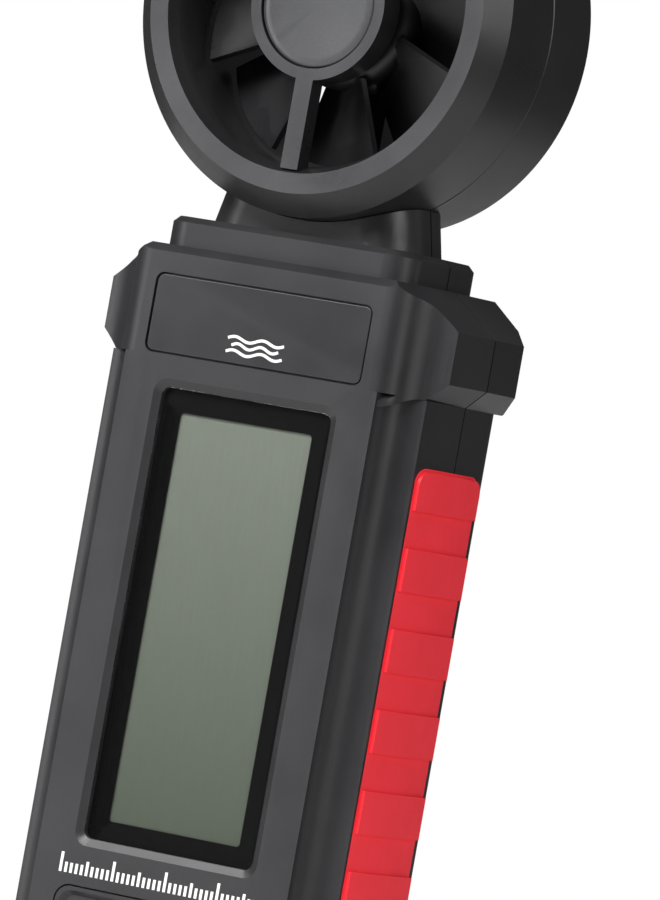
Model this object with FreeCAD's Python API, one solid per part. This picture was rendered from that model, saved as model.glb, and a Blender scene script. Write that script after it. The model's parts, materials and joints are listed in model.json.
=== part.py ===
import FreeCAD, Part
import math
import os

# Handheld vane anemometer: a round fan head on a slim two-shell handle with a display and six keys.
# Frame: X to the user's right, Y from the front face towards the back face, Z up.
# Origin: centre of the bounding box seen from above, on the flat bottom end.
# "Depth" below always means the distance behind the flat front face.

# ---------------------------------------------------------------- driving dimensions, mm
BODY_DEPTH = 28.2            # front face to back face
SEAM_DEPTH = 15.5            # parting plane between the front and rear mouldings
SEAM_GROOVE = 0.35           # width and depth of the shadow line at the parting plane
FRONT_WALL = 2.4             # thickness of the front wall
BACK_WALL = 2.0              # thickness of the back wall

HANDLE_LENGTH = 123.6        # bottom end to the shoulder's lower edge
SHOULDER_HEIGHT = 16.4
COLLAR_HEIGHT = 4.5
FAN_RISE = 38.0              # shoulder top to the fan axis

PLATEAU_HALF = 21.6          # half width of the flat front face
COVE_R = 5.4                 # quarter-round cove beside the flat face
SIDE_BULGE = 0.8             # how far the sides swell from the cove's ridge to the seam
BACK_DRAFT = 0.6             # how far the sides draw in from the seam to the back
BACK_EDGE_R = 3.7
END_CORNER_R = 6.0           # bottom corners seen from the front
END_CHAMFER = 1.2            # front and back edges of the bottom end
SIDE_WALL = 2.2

SHOULDER_RIDGE_HALF = 29.7
SHOULDER_RIDGE_DEPTH = 6.2
SHOULDER_SEAM_HALF = 30.8
SHOULDER_BACK_HALF = 30.1
SHOULDER_TOP_HALF = 22.6     # half width of the flat top
SHOULDER_TOP_CUT = 5.9       # height of the slanted upper corner
SHOULDER_LOW_CUT = 2.8       # height of the slanted lower corner
SHOULDER_BEVEL = 1.1         # bevel along the top front edge
ROLL_START_HALF = 20.0       # where the shoulder's front starts to roll down to its ridge
GUSSET_DROP = 2.3            # how far the shoulder's lower facet reaches down beside the flat face

COLLAR_HALF = 21.2
COLLAR_FRONT = 3.1
COLLAR_BACK = 26.2
COLLAR_CORNER_R = 4.5
COLLAR_EDGE = 0.9

NECK_FOOT_HALF = 17.8
NECK_TOP_HALF = 16.2
NECK_FRONT = 7.0
NECK_BACK = 20.9
NECK_FRONT_R = 7.4
NECK_BACK_R = 3.0
SADDLE_GAP = 0.15            # between the neck's saddle and the fan ring

# fan head
RING_R = 31.15
RING_BACK_R = 30.9
LIP_OUTER_R = 28.0
LIP_INNER_R = 25.0
DUCT_R = 23.6
THROAT_DEPTH = 3.6
RING_SKIN = 1.7
LIP_THICKNESS = 2.4
BACK_LIP_THICKNESS = 2.4
SPOKE_WIDTH = 2.9
SPOKE_FACE = 0.6             # depth of the front hub and spokes
SPOKE_THICKNESS = 3.0
SPOKE_ANGLES = (270.0, 150.0, 30.0)
FRONT_HUB_R = 11.2
FRONT_HUB_BACK = 5.2
CAP_SEAT_R = 9.5
CAP_SEAT_DEPTH = 1.1
CAP_GAP = 0.2
CAP_THICKNESS = 0.8
CAP_DOME = 0.45
STRUT_WIDTH = 6.8
STRUT_FRONT = 20.0
STRUT_BACK = 25.4
REAR_HUB_R = 9.6
REAR_HUB_FRONT = 18.0
STEM_HALF = 10.0
STEM_FRONT = 10.0
STEM_BACK = 18.4
STEM_FOOT_HALF = 12.6
STEM_FOOT_HEIGHT = 2.6
STEM_FIT = 0.3

# rotor
SHAFT_R = 1.0
SHAFT_END_GAP = 0.4
BEARING_R = 2.5
BEARING_LENGTH = 2.6
RUNNING_FIT = 0.05
DRUM_R = 11.5
DRUM_FRONT = 8.5
DRUM_BACK = 16.0
DRUM_EDGE_R = 2.4
DRUM_WALL = 1.4
ROTOR_BOSS_R = 3.0
BLADE_COUNT = 8
BLADE_TIP_GAP = 0.8
BLADE_ROOT_CHORD = 12.4
BLADE_TIP_CHORD = 20.5
BLADE_THICKNESS = 0.9
BLADE_ROOT_PITCH = 38.0      # from the plane of rotation, degrees
BLADE_TIP_PITCH = 22.0
BLADE_MID_DEPTH = 11.7
BLADE_PHASE = 4.0            # degrees, first blade's turn from the X axis
MAGNET_R = 6.0
MAGNET_THICKNESS = 2.4
PICKUP_R = 6.9
PICKUP_THICKNESS = 1.0

# display
BEZEL_HALF = 15.7
BEZEL_TOP = 120.4
BEZEL_BOTTOM = 50.7
BEZEL_CORNER_R = 2.0
BEZEL_BEVEL = 1.15
LENS_DEPTH = 0.6
LENS_THICKNESS = 0.9
MASK_THICKNESS = 0.1
LCD_VIEW_HALF = 11.3
LCD_VIEW_TOP = 115.8
LCD_VIEW_BOTTOM = 54.9
LCD_MARGIN = 1.2             # glass beyond its visible area
LCD_THICKNESS = 2.6
LCD_FIT = 0.2
HOLDER_MARGIN = 1.6
LIGHT_THICKNESS = 2.0
ZEBRA_WIDTH = 1.8

# nameplate
PLATE_HALF = 18.6
PLATE_TOP = 135.8
PLATE_BOTTOM = 123.9
PLATE_CORNER_R = 1.4
PLATE_SEAT = 0.9
PLATE_THICKNESS = 0.75
PLATE_GAP = 0.25

# keypad
PANEL_HALF = 17.4
PANEL_TOP = 44.8
PANEL_BOTTOM = 6.5
PANEL_CORNER_R = 2.5
PANEL_RIM = 1.5
PANEL_SEAT = 1.6
PANEL_FLOOR = 0.8
PANEL_GAP = 0.25
KEY_NAMES = (("key_power", "key_hold"), ("key_max_min", "key_unit"), ("key_backlight", "key_scale"))
KEY_PITCH_X = 15.5
KEY_PITCH_Z = 11.6
KEY_WIDTH = 13.8
KEY_HEIGHT = 9.6
KEY_CORNER_R = 2.2
KEY_PROUD = 0.4
KEY_EDGE = 0.5
KEY_GAP = 0.3
KEY_FLANGE = 0.6
KEY_FLANGE_THICKNESS = 0.5
KEY_TRAVEL = 0.4
KEY_STEM_R = 1.4
KEY_STEM_REACH = 1.4         # how far a stem enters its switch
SWITCH_SIZE = 6.0
SWITCH_HEIGHT = 3.2

# boards and inner pieces
BOARD_DEPTH = 7.2
BOARD_THICKNESS = 1.6
BOARD_HALF = 17.0
BOARD_BOTTOM = 4.5
BOARD_TOP = 131.0
POST_R = 1.9
POST_X = 14.9
POST_LEVELS = (47.8, 126.6)
BOARD_SCREW_R = 0.8
BOARD_SCREW_HEAD_R = 1.6
BOARD_SCREW_HEAD = 1.2
BOARD_SCREW_BITE = 3.4
CHIP_SIZE = 10.0
CHIP_HEIGHT = 1.6
CHIP_Z = 78.0
BUZZER_R = 6.0
BUZZER_HEIGHT = 4.0
BUZZER_Z = 104.0
BUZZER_X = -8.0
SOCKET_WIDTH = 6.0
SOCKET_HEIGHT = 4.0
SOCKET_LENGTH = 4.5
SOCKET_Z = 113.0
CABLE_R = 0.7
CABLE_ROOM = 0.35

# battery bay
CELL_R = 5.25
CELL_LENGTH = 44.5
CELL_NUB_R = 1.9
CELL_NUB = 1.0
CELL_COUNT = 3
CELL_GAP = 0.5               # between neighbouring cells
CELL_FIT = 0.3
BAY_WALL = 1.2
BAY_BOTTOM = 3.4
CONTACT_THICKNESS = 0.5
CONTACT_HALF = 4.0
SPRING_LENGTH = 4.2
SPRING_R = 3.2
SPRING_TIP_R = 2.2
SPRING_WIRE_R = 0.35
SPRING_TURNS = 3.5
SPRING_STEPS = 14            # straight lengths of wire in each turn
WIRE_SIDES = 8

DOOR_HALF = 18.0
DOOR_TOP = 62.0
DOOR_LIFT = 0.4              # bottom end of the door above the resting plane
DOOR_TONGUE = 1.2
DOOR_TONGUE_THICKNESS = 1.0
DOOR_GAP = 0.3
DOOR_GRIP_HALF = 7.0
DOOR_GRIP_BOTTOM = 48.0
DOOR_GRIP_TOP = 57.6
DOOR_GRIP_DEPTH = 0.6
DOOR_RIB_COUNT = 4
DOOR_RIB = 0.9

# fastenings
CASE_SCREW_R = 1.1
CASE_SCREW_HEAD_R = 2.3
CASE_SCREW_HEAD = 1.7
CASE_SCREW_RECESS = 3.1
CASE_SCREW_TIP = 9.4
CASE_BOSS_R = 3.4
CASE_SCREW_X = 22.5
CASE_SCREW_LEVELS = (9.5, 69.0, 129.6)
SCREW_CLEARANCE = 0.2
RING_SCREW_R = 0.8
RING_SCREW_HEAD_R = 1.5
RING_SCREW_HEAD = 1.1
RING_SCREW_RECESS = 1.5
RING_SCREW_TIP = 8.0
RING_SCREW_PCR = 27.3
RING_SCREW_ANGLES = (90.0, 210.0, 330.0)
TRIPOD_Z = 88.0
TRIPOD_THREAD_R = 2.55
TRIPOD_INSERT_R = 4.2
TRIPOD_LENGTH = 8.0
TRIPOD_BOSS_R = 6.4

# side grips
GRIP_TOP = 113.9
GRIP_FRONT = 5.8
GRIP_CREST = 13.2
GRIP_BACK = 24.4
GRIP_SEAT = 0.7              # how far the grip sinks into the side
GRIP_CREST_RISE = 0.55       # base sheet above the side at its crest
GRIP_EDGE_RISE = 0.12
GRIP_CORNER_R = 2.6
BLOCK_HEIGHT = 6.3
BLOCK_PITCH = 11.9
BLOCK_COUNT = 9
BLOCK_RISE = 0.5
RIGHT_NOSE_RISE = 0.5        # front ends of the right grip's blocks; the left's fade out
BLOCK_INSET = 0.5

# ---------------------------------------------------------------- worked out from the above
RIDGE_HALF = PLATEAU_HALF + COVE_R
SEAM_HALF = RIDGE_HALF + SIDE_BULGE
BACK_HALF = SEAM_HALF - BACK_DRAFT
SHOULDER_TOP = HANDLE_LENGTH + SHOULDER_HEIGHT
COLLAR_TOP = SHOULDER_TOP + COLLAR_HEIGHT
FAN_Z = SHOULDER_TOP + FAN_RISE
FRONT_Y = KEY_PROUD / 2.0 - BODY_DEPTH / 2.0
BOARD_BACK = BOARD_DEPTH + BOARD_THICKNESS
BLADE_TIP_R = DUCT_R - BLADE_TIP_GAP
FRONT_BEARING_DEPTH = FRONT_HUB_BACK - BEARING_LENGTH
REAR_BEARING_DEPTH = REAR_HUB_FRONT + 2 * PICKUP_THICKNESS
SHAFT_FRONT = FRONT_BEARING_DEPTH + SHAFT_END_GAP
SHAFT_BACK = REAR_BEARING_DEPTH + BEARING_LENGTH + SHAFT_END_GAP
CELL_DEPTH = BODY_DEPTH - BACK_WALL - CELL_FIT - CELL_R
BAY_FLOOR = CELL_DEPTH - CELL_R - CELL_FIT
CELL_PITCH = 2 * CELL_R + CELL_GAP
BAY_HALF = (CELL_COUNT - 1) * CELL_PITCH / 2.0 + CELL_R + CELL_FIT
CELL_BOTTOM = BAY_BOTTOM + BAY_WALL + CONTACT_THICKNESS
CELL_ROOM = CELL_LENGTH + SPRING_LENGTH + CONTACT_THICKNESS
BAY_TOP = CELL_BOTTOM + CELL_ROOM + BAY_WALL
BAY_BACK = BODY_DEPTH - BACK_WALL - DOOR_GAP
KEY_TOP_Z = (PANEL_TOP + PANEL_BOTTOM) / 2.0 + KEY_PITCH_Z
LENS_HALF = BEZEL_HALF - BEZEL_BEVEL
LENS_TOP = BEZEL_TOP - BEZEL_BEVEL
LENS_BOTTOM = BEZEL_BOTTOM + BEZEL_BEVEL
LENS_CORNER_R = BEZEL_CORNER_R - 0.6
LENS_BACK = LENS_DEPTH + LENS_THICKNESS
LENS_SEAT = LENS_BACK + MASK_THICKNESS
LCD_HALF = LCD_VIEW_HALF + LCD_MARGIN
LCD_TOP = LCD_VIEW_TOP + LCD_MARGIN
LCD_BOTTOM = LCD_VIEW_BOTTOM - LCD_MARGIN
LCD_BACK = LENS_SEAT + LCD_FIT + LCD_THICKNESS
STEM_BOTTOM = SHOULDER_TOP - FRONT_WALL - STEM_FIT - STEM_FOOT_HEIGHT


def vec(x, depth, z):
    """A point from its side offset, depth behind the front face, and height."""
    return FreeCAD.Vector(x, FRONT_Y + depth, z)


def block(x0, x1, d0, d1, z0, z1):
    """A rectangular block between two offsets, two depths and two heights."""
    return Part.makeBox(x1 - x0, d1 - d0, z1 - z0, vec(x0, d0, z0))


def rod(x, z, radius, d0, d1):
    """A round bar along Y between two depths."""
    return Part.makeCylinder(radius, d1 - d0, vec(x, d0, z), FreeCAD.Vector(0, 1, 0))


def face_of(points):
    """A flat face inside a closed polygon."""
    return Part.Face(Part.makePolygon(points + [points[0]]))


def rounded_outline(half, z0, z1, radius, depth):
    """A rounded rectangle facing -Y, centred on X = 0."""
    return rounded_rectangle(-half, half, z0, z1, radius, depth)


def rounded_rectangle(x0, x1, z0, z1, radius, depth):
    """A closed wire with four round corners at one depth."""
    k = radius * (1.0 - math.sqrt(0.5))
    lines = (
        (vec(x0 + radius, depth, z0), vec(x1 - radius, depth, z0)),
        (vec(x1, depth, z0 + radius), vec(x1, depth, z1 - radius)),
        (vec(x1 - radius, depth, z1), vec(x0 + radius, depth, z1)),
        (vec(x0, depth, z1 - radius), vec(x0, depth, z0 + radius)),
    )
    mids = (
        vec(x1 - k, depth, z0 + k),
        vec(x1 - k, depth, z1 - k),
        vec(x0 + k, depth, z1 - k),
        vec(x0 + k, depth, z0 + k),
    )
    edges = []
    for i in range(4):
        start, end = lines[i]
        edges.append(Part.makeLine(start, end))
        edges.append(Part.Arc(end, mids[i], lines[(i + 1) % 4][0]).toShape())
    return Part.Wire(edges)


def rounded_plate(x0, x1, z0, z1, radius, d0, d1):
    """A plate with four round corners between two depths."""
    face = Part.Face(rounded_rectangle(x0, x1, z0, z1, radius, d0))
    return face.extrude(FreeCAD.Vector(0, d1 - d0, 0))


def plate(half, z0, z1, radius, d0, d1):
    """A rounded plate centred on X = 0."""
    return rounded_plate(-half, half, z0, z1, radius, d0, d1)


def mirrored(shape):
    """The shape's mirror image across the X = 0 plane."""
    return shape.mirror(FreeCAD.Vector(0, 0, 0), FreeCAD.Vector(1, 0, 0))


def both_sides(shape):
    """The shape and its mirror image, fused."""
    return shape.fuse(mirrored(shape))


def fused(shapes):
    """One solid from several touching solids."""
    first = shapes[0]
    return first.multiFuse(shapes[1:]).removeSplitter()


def spun(profile):
    """Revolve (radius, depth) points about the fan axis."""
    points = [vec(r, d, FAN_Z) for r, d in profile]
    return face_of(points).revolve(vec(0, 0, FAN_Z), FreeCAD.Vector(0, 1, 0), 360)


def turned(shape, degrees):
    """The shape turned about the fan axis, anticlockwise seen from the front."""
    return shape.rotated(vec(0, 0, FAN_Z), FreeCAD.Vector(0, 1, 0), -degrees)


def on_circle(radius, degrees):
    """Offset and height of a point on a circle about the fan axis."""
    angle = math.radians(degrees)
    return radius * math.cos(angle), FAN_Z + radius * math.sin(angle)


def compound(solids):
    """Several separate solids kept in one node."""
    return Part.makeCompound(solids)


# ---------------------------------------------------------------- outer form of the two shells
def handle_form(inset):
    """The handle from its bottom end to the collar, drawn in by an inset."""
    ridge = RIDGE_HALF - inset
    seam = SEAM_HALF - inset
    back = BACK_HALF - inset
    plateau = PLATEAU_HALF
    front = inset
    rear = BODY_DEPTH - inset
    q = COVE_R * math.sqrt(0.5)
    corner = BACK_EDGE_R * (1.0 - math.sqrt(0.5))
    cove = Part.Arc(
        vec(plateau, front, 0),
        vec(RIDGE_HALF - q, q + front, 0),
        vec(ridge, COVE_R + front, 0),
    )
    round_back = Part.Arc(
        vec(back, rear - BACK_EDGE_R, 0),
        vec(back - corner, rear - corner, 0),
        vec(back - BACK_EDGE_R, rear, 0),
    )
    right = [
        Part.makeLine(vec(0, front, 0), vec(plateau, front, 0)),
        cove.toShape(),
        Part.makeLine(vec(ridge, COVE_R + front, 0), vec(seam, SEAM_DEPTH, 0)),
        Part.makeLine(vec(seam, SEAM_DEPTH, 0), vec(back, rear - BACK_EDGE_R, 0)),
        round_back.toShape(),
        Part.makeLine(vec(back - BACK_EDGE_R, rear, 0), vec(0, rear, 0)),
        Part.makeLine(vec(0, rear, 0), vec(0, front, 0)),
    ]
    half = Part.Face(Part.Wire(right)).extrude(FreeCAD.Vector(0, 0, HANDLE_LENGTH))
    whole = both_sides(half).removeSplitter()
    return whole.common(end_envelope(inset))


def end_envelope(inset):
    """Rounds the handle's bottom corners and bevels its front and back end edges."""
    height = HANDLE_LENGTH + 2 * END_CORNER_R
    outline = plate(SEAM_HALF - inset, inset, height, END_CORNER_R, 0, BODY_DEPTH)
    side = face_of([
        vec(-SEAM_HALF, END_CHAMFER + inset, inset),
        vec(-SEAM_HALF, 0, END_CHAMFER + inset),
        vec(-SEAM_HALF, 0, height),
        vec(-SEAM_HALF, BODY_DEPTH, height),
        vec(-SEAM_HALF, BODY_DEPTH, END_CHAMFER + inset),
        vec(-SEAM_HALF, BODY_DEPTH - END_CHAMFER - inset, inset),
    ])
    return outline.common(side.extrude(FreeCAD.Vector(2 * SEAM_HALF, 0, 0)))


def shoulder_outline(half, depth, inset):
    """The shoulder's eight-cornered outline at one depth."""
    half = half - inset
    top_half = SHOULDER_TOP_HALF
    top = SHOULDER_TOP - inset
    foot_half = SEAM_HALF - inset - (SHOULDER_SEAM_HALF - inset - half)
    low = HANDLE_LENGTH
    right = [
        vec(top_half, depth, top),
        vec(half, depth, top - SHOULDER_TOP_CUT),
        vec(half, depth, low + SHOULDER_LOW_CUT),
        vec(foot_half, depth, low),
    ]
    left = [FreeCAD.Vector(-p.x, p.y, p.z) for p in reversed(right)]
    return Part.makePolygon(right + left + [right[0]])


def shoulder_form(inset):
    """The wider block at the head of the handle, with its rolled front and slanted corners."""
    slope = (SHOULDER_SEAM_HALF - SHOULDER_RIDGE_HALF) / (SEAM_DEPTH - SHOULDER_RIDGE_DEPTH)
    front_half = SHOULDER_SEAM_HALF - slope * SEAM_DEPTH
    front = Part.makeLoft([
        shoulder_outline(front_half, 0, inset),
        shoulder_outline(SHOULDER_SEAM_HALF, SEAM_DEPTH, inset),
    ], True, True)
    rear = Part.makeLoft([
        shoulder_outline(SHOULDER_SEAM_HALF, SEAM_DEPTH, inset),
        shoulder_outline(SHOULDER_BACK_HALF, BODY_DEPTH - inset, inset),
    ], True, True)
    whole = front.fuse(rear).removeSplitter()
    whole = whole.cut(both_sides(shoulder_roll(inset, HANDLE_LENGTH - 1.0)))
    whole = whole.cut(shoulder_front_bevel(inset))
    whole = whole.cut(both_sides(shoulder_back_edge(inset)))
    return whole.fuse(both_sides(shoulder_gusset()))


def shoulder_gusset():
    """The small facet that leads from the shoulder's lower corner down to the flat face's edge."""
    low = HANDLE_LENGTH - GUSSET_DROP
    inner = vec(PLATEAU_HALF, 0, low)
    outer = vec(SHOULDER_RIDGE_HALF, SHOULDER_RIDGE_DEPTH, HANDLE_LENGTH + SHOULDER_LOW_CUT)
    ridge = vec(RIDGE_HALF, COVE_R, HANDLE_LENGTH)
    ahead = inner + (inner - ridge) * 0.4
    inward = (outer - inner).cross(ridge - inner).normalize()
    wedge = face_of([ridge, ahead, outer]).extrude(inward * COVE_R)
    wedge = wedge.cut(shoulder_roll(0.0, low - 2.0))
    return wedge.common(block(0, SHOULDER_RIDGE_HALF, 0, SEAM_DEPTH, low, SHOULDER_TOP))


def shoulder_roll(inset, z0):
    """The space in front of the shoulder's S-shaped side, from a height z0 up."""
    start = ROLL_START_HALF
    run = SHOULDER_RIDGE_HALF - start
    drop = SHOULDER_RIDGE_DEPTH
    turn = 2.0 * math.atan(drop / run)
    radius_sum = run / math.sin(turn)
    crest_r = 0.4 * radius_sum
    dip_r = radius_sum - crest_r
    mid_x = start + crest_r * math.sin(turn)
    mid_d = crest_r * (1.0 - math.cos(turn))
    crest_mid = (start + crest_r * math.sin(turn / 2), crest_r * (1 - math.cos(turn / 2)))
    dip_mid = (
        SHOULDER_RIDGE_HALF - dip_r * math.sin(turn / 2),
        drop - dip_r * (1 - math.cos(turn / 2)),
    )
    reach = SHOULDER_SEAM_HALF + 4.0
    ahead = -2.0
    edges = [
        Part.Arc(vec(start, inset, z0), vec(crest_mid[0], crest_mid[1] + inset, z0),
                 vec(mid_x, mid_d + inset, z0)).toShape(),
        Part.Arc(vec(mid_x, mid_d + inset, z0), vec(dip_mid[0], dip_mid[1] + inset, z0),
                 vec(SHOULDER_RIDGE_HALF, drop + inset, z0)).toShape(),
        Part.makeLine(vec(SHOULDER_RIDGE_HALF, drop + inset, z0), vec(reach, drop + inset, z0)),
        Part.makeLine(vec(reach, drop + inset, z0), vec(reach, ahead, z0)),
        Part.makeLine(vec(reach, ahead, z0), vec(start, ahead, z0)),
        Part.makeLine(vec(start, ahead, z0), vec(start, inset, z0)),
    ]
    return Part.Face(Part.Wire(edges)).extrude(FreeCAD.Vector(0, 0, SHOULDER_HEIGHT + 4.0))


def shoulder_front_bevel(inset):
    """Bevels that run along the top front edge and down both slanted corners."""
    b = SHOULDER_BEVEL
    top = SHOULDER_TOP - inset
    reach = SHOULDER_SEAM_HALF + 4.0
    wedge = face_of([vec(-reach, -1.0, top - 2 * b), vec(-reach, 1.3 * b, top + 0.3 * b),
                     vec(-reach, -1.0, top + 0.3 * b)])
    top_cut = wedge.extrude(FreeCAD.Vector(2 * reach, 0, 0))
    run = SHOULDER_SEAM_HALF - SHOULDER_TOP_HALF
    length = math.hypot(run, SHOULDER_TOP_CUT)
    normal = FreeCAD.Vector(SHOULDER_TOP_CUT / length, 0, run / length)
    along = FreeCAD.Vector(run / length, 0, -SHOULDER_TOP_CUT / length)
    corner = vec(SHOULDER_TOP_HALF, 0, top)
    deep = FreeCAD.Vector(0, SHOULDER_RIDGE_DEPTH + 2.0, 0)
    ahead = FreeCAD.Vector(0, -1.0, 0)
    start = corner - along * 6.0
    side_wedge = face_of([
        start - normal * (1.15 * b) + ahead,
        start + normal * 0.05 + deep,
        start + normal * 3.0 + deep,
        start + normal * 3.0 + ahead,
    ])
    side_cut = side_wedge.extrude(along * (length + 12.0))
    return top_cut.fuse(both_sides(side_cut))


def shoulder_back_edge(inset):
    """The bevel along the shoulder's back side edges."""
    r = 0.75 * BACK_EDGE_R
    z0 = HANDLE_LENGTH - 1.0
    rear = BODY_DEPTH - inset
    edge = SHOULDER_BACK_HALF - inset
    wedge = face_of([vec(edge - r, rear + 0.5, z0), vec(edge + 1.0, rear + 0.5, z0),
                     vec(edge + 1.0, rear - r, z0), vec(edge + 0.1, rear - r, z0),
                     vec(edge - r, rear, z0)])
    return wedge.extrude(FreeCAD.Vector(0, 0, SHOULDER_HEIGHT + 4.0))


def plan_outline(half, front, back, front_r, back_r, z):
    """A rounded rectangle seen from above, with its own front and back corner radii."""
    kf = front_r * (1.0 - math.sqrt(0.5))
    kb = back_r * (1.0 - math.sqrt(0.5))
    edges = [
        Part.makeLine(vec(-half + front_r, front, z), vec(half - front_r, front, z)),
        Part.Arc(vec(half - front_r, front, z), vec(half - kf, front + kf, z),
                 vec(half, front + front_r, z)).toShape(),
        Part.makeLine(vec(half, front + front_r, z), vec(half, back - back_r, z)),
        Part.Arc(vec(half, back - back_r, z), vec(half - kb, back - kb, z),
                 vec(half - back_r, back, z)).toShape(),
        Part.makeLine(vec(half - back_r, back, z), vec(-half + back_r, back, z)),
        Part.Arc(vec(-half + back_r, back, z), vec(-half + kb, back - kb, z),
                 vec(-half, back - back_r, z)).toShape(),
        Part.makeLine(vec(-half, back - back_r, z), vec(-half, front + front_r, z)),
        Part.Arc(vec(-half, front + front_r, z), vec(-half + kf, front + kf, z),
                 vec(-half + front_r, front, z)).toShape(),
    ]
    return Part.Wire(edges)


def collar_form(inset):
    """The step between the shoulder and the neck, with a bevelled top edge."""
    foot = SHOULDER_TOP - 1.0
    brow = COLLAR_TOP - COLLAR_EDGE - inset
    half = COLLAR_HALF - inset
    r = COLLAR_CORNER_R
    e = COLLAR_EDGE
    base = plan_outline(half, COLLAR_FRONT + inset, COLLAR_BACK - inset, r, r, foot)
    rim = plan_outline(half, COLLAR_FRONT + inset, COLLAR_BACK - inset, r, r, brow)
    top = plan_outline(half - e, COLLAR_FRONT + inset + e, COLLAR_BACK - inset - e, r - e, r - e,
                       COLLAR_TOP - inset)
    lower = Part.makeLoft([base, rim], True, True)
    upper = Part.makeLoft([rim, top], True, True)
    return lower.fuse(upper).removeSplitter()


def neck_form(inset):
    """The tapered neck that rises from the collar into the fan ring's saddle."""
    foot_z = COLLAR_TOP - 1.0
    top_z = FAN_Z - math.sqrt(RING_R ** 2 - NECK_TOP_HALF ** 2) + 3.0
    taper = (NECK_FOOT_HALF - NECK_TOP_HALF) / (top_z - 3.0 - COLLAR_TOP)
    foot_half = NECK_FOOT_HALF + taper - inset
    top_half = NECK_TOP_HALF - 3.0 * taper - inset
    front = NECK_FRONT + inset
    back = NECK_BACK - inset
    foot = plan_outline(foot_half, front, back, NECK_FRONT_R, NECK_BACK_R, foot_z)
    top = plan_outline(top_half, front, back, NECK_FRONT_R, NECK_BACK_R, top_z)
    solid = Part.makeLoft([foot, top], True, True)
    return solid.cut(rod(0, FAN_Z, RING_R + SADDLE_GAP, -1, BODY_DEPTH + 1))


def case_form(inset):
    """The whole outer form of the handle, shoulder, collar and neck."""
    forms = [handle_form(inset), shoulder_form(inset), collar_form(inset), neck_form(inset)]
    return fused(forms)


def case_cavity():
    """The hollow inside the two shells."""
    wall = SIDE_WALL
    cove_wall = COVE_R + 1.8
    lean = cove_wall * math.sqrt(2.0) - FRONT_WALL
    shallow_x = RIDGE_HALF - lean
    side = RIDGE_HALF - wall
    back = BACK_HALF - wall
    rear = BODY_DEPTH - BACK_WALL
    points = [
        vec(0, FRONT_WALL, 0),
        vec(shallow_x, FRONT_WALL, 0),
        vec(side, FRONT_WALL + side - shallow_x, 0),
        vec(side, SEAM_DEPTH, 0),
        vec(back, rear - BACK_EDGE_R, 0),
        vec(back - BACK_EDGE_R, rear, 0),
        vec(0, rear, 0),
    ]
    half = face_of(points).extrude(FreeCAD.Vector(0, 0, SHOULDER_TOP))
    whole = both_sides(half).removeSplitter()
    room = plate(side, SIDE_WALL, SHOULDER_TOP - FRONT_WALL, END_CORNER_R - SIDE_WALL, 0, BODY_DEPTH)
    return whole.common(room)


def neck_passage():
    """The slot through the collar and neck that holds the fan ring's stem."""
    half = STEM_HALF + STEM_FIT
    low = SHOULDER_TOP - FRONT_WALL - 1.0
    return block(-half, half, STEM_FRONT - STEM_FIT, STEM_BACK + STEM_FIT, low, FAN_Z)


def seam_line():
    """The thin shadow groove round the rear shell at the parting plane."""
    slab = block(-60, 60, SEAM_DEPTH, SEAM_DEPTH + SEAM_GROOVE, -1, FAN_Z)
    return slab.cut(case_form(SEAM_GROOVE))


def screw_positions():
    """Offsets and heights of the case screws."""
    return [(side * CASE_SCREW_X, z) for z in CASE_SCREW_LEVELS for side in (-1, 1)]


def post_positions():
    """Offsets and heights of the board posts."""
    return [(side * POST_X, z) for z in POST_LEVELS for side in (-1, 1)]


# ---------------------------------------------------------------- shells and what covers them
def front_shell():
    """Front moulding: flat face, display well, keypad well, nameplate seat and neck front."""
    shell = case_form(0.0).common(block(-60, 60, -1, SEAM_DEPTH, -1, FAN_Z))
    shell = shell.cut(case_cavity()).cut(neck_passage())
    extras = [rod(x, z, POST_R, FRONT_WALL - 0.5, BOARD_DEPTH) for x, z in post_positions()]
    for x, z in screw_positions():
        extras.append(rod(x, z, CASE_BOSS_R, COVE_R + 0.8, SEAM_DEPTH))
    shell = fused([shell] + extras)
    shell = shell.cut(display_well()).cut(keypad_well())
    shell = shell.cut(plate(PLATE_HALF, PLATE_BOTTOM, PLATE_TOP, PLATE_CORNER_R, -1, PLATE_SEAT))
    for x, z in post_positions():
        tip = BOARD_DEPTH - BOARD_SCREW_BITE
        shell = shell.cut(rod(x, z, BOARD_SCREW_R, tip, BOARD_DEPTH + 1))
    for x, z in screw_positions():
        shell = shell.cut(rod(x, z, CASE_SCREW_R, CASE_SCREW_TIP, SEAM_DEPTH + 1))
    return shell.cut(right_grip()).cut(left_grip())


def display_well():
    """The bevelled recess, lens seat and opening for the display."""
    outer = rounded_outline(BEZEL_HALF + BEZEL_BEVEL, BEZEL_BOTTOM - BEZEL_BEVEL,
                            BEZEL_TOP + BEZEL_BEVEL, BEZEL_CORNER_R + BEZEL_BEVEL, -LENS_DEPTH)
    inner = rounded_outline(LENS_HALF, LENS_BOTTOM, LENS_TOP, LENS_CORNER_R, LENS_DEPTH)
    bevel = Part.makeLoft([outer, inner], True, True)
    seat = plate(LENS_HALF, LENS_BOTTOM, LENS_TOP, LENS_CORNER_R, LENS_DEPTH - 0.1, LENS_SEAT)
    half = LCD_HALF + LCD_FIT
    opening = block(-half, half, LENS_SEAT - 0.1, BOARD_DEPTH, LCD_BOTTOM - LCD_FIT, LCD_TOP + LCD_FIT)
    return bevel.fuse(seat).fuse(opening)


def keypad_well():
    """The stepped recess that holds the keypad panel."""
    seat = plate(PANEL_HALF, PANEL_BOTTOM, PANEL_TOP, PANEL_CORNER_R, -1, PANEL_SEAT)
    rim = PANEL_RIM - PANEL_GAP
    hole = plate(PANEL_HALF - rim, PANEL_BOTTOM + rim, PANEL_TOP - rim, PANEL_CORNER_R - rim / 2,
                 PANEL_SEAT - 0.1, FRONT_WALL + 1)
    return seat.fuse(hole)


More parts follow.
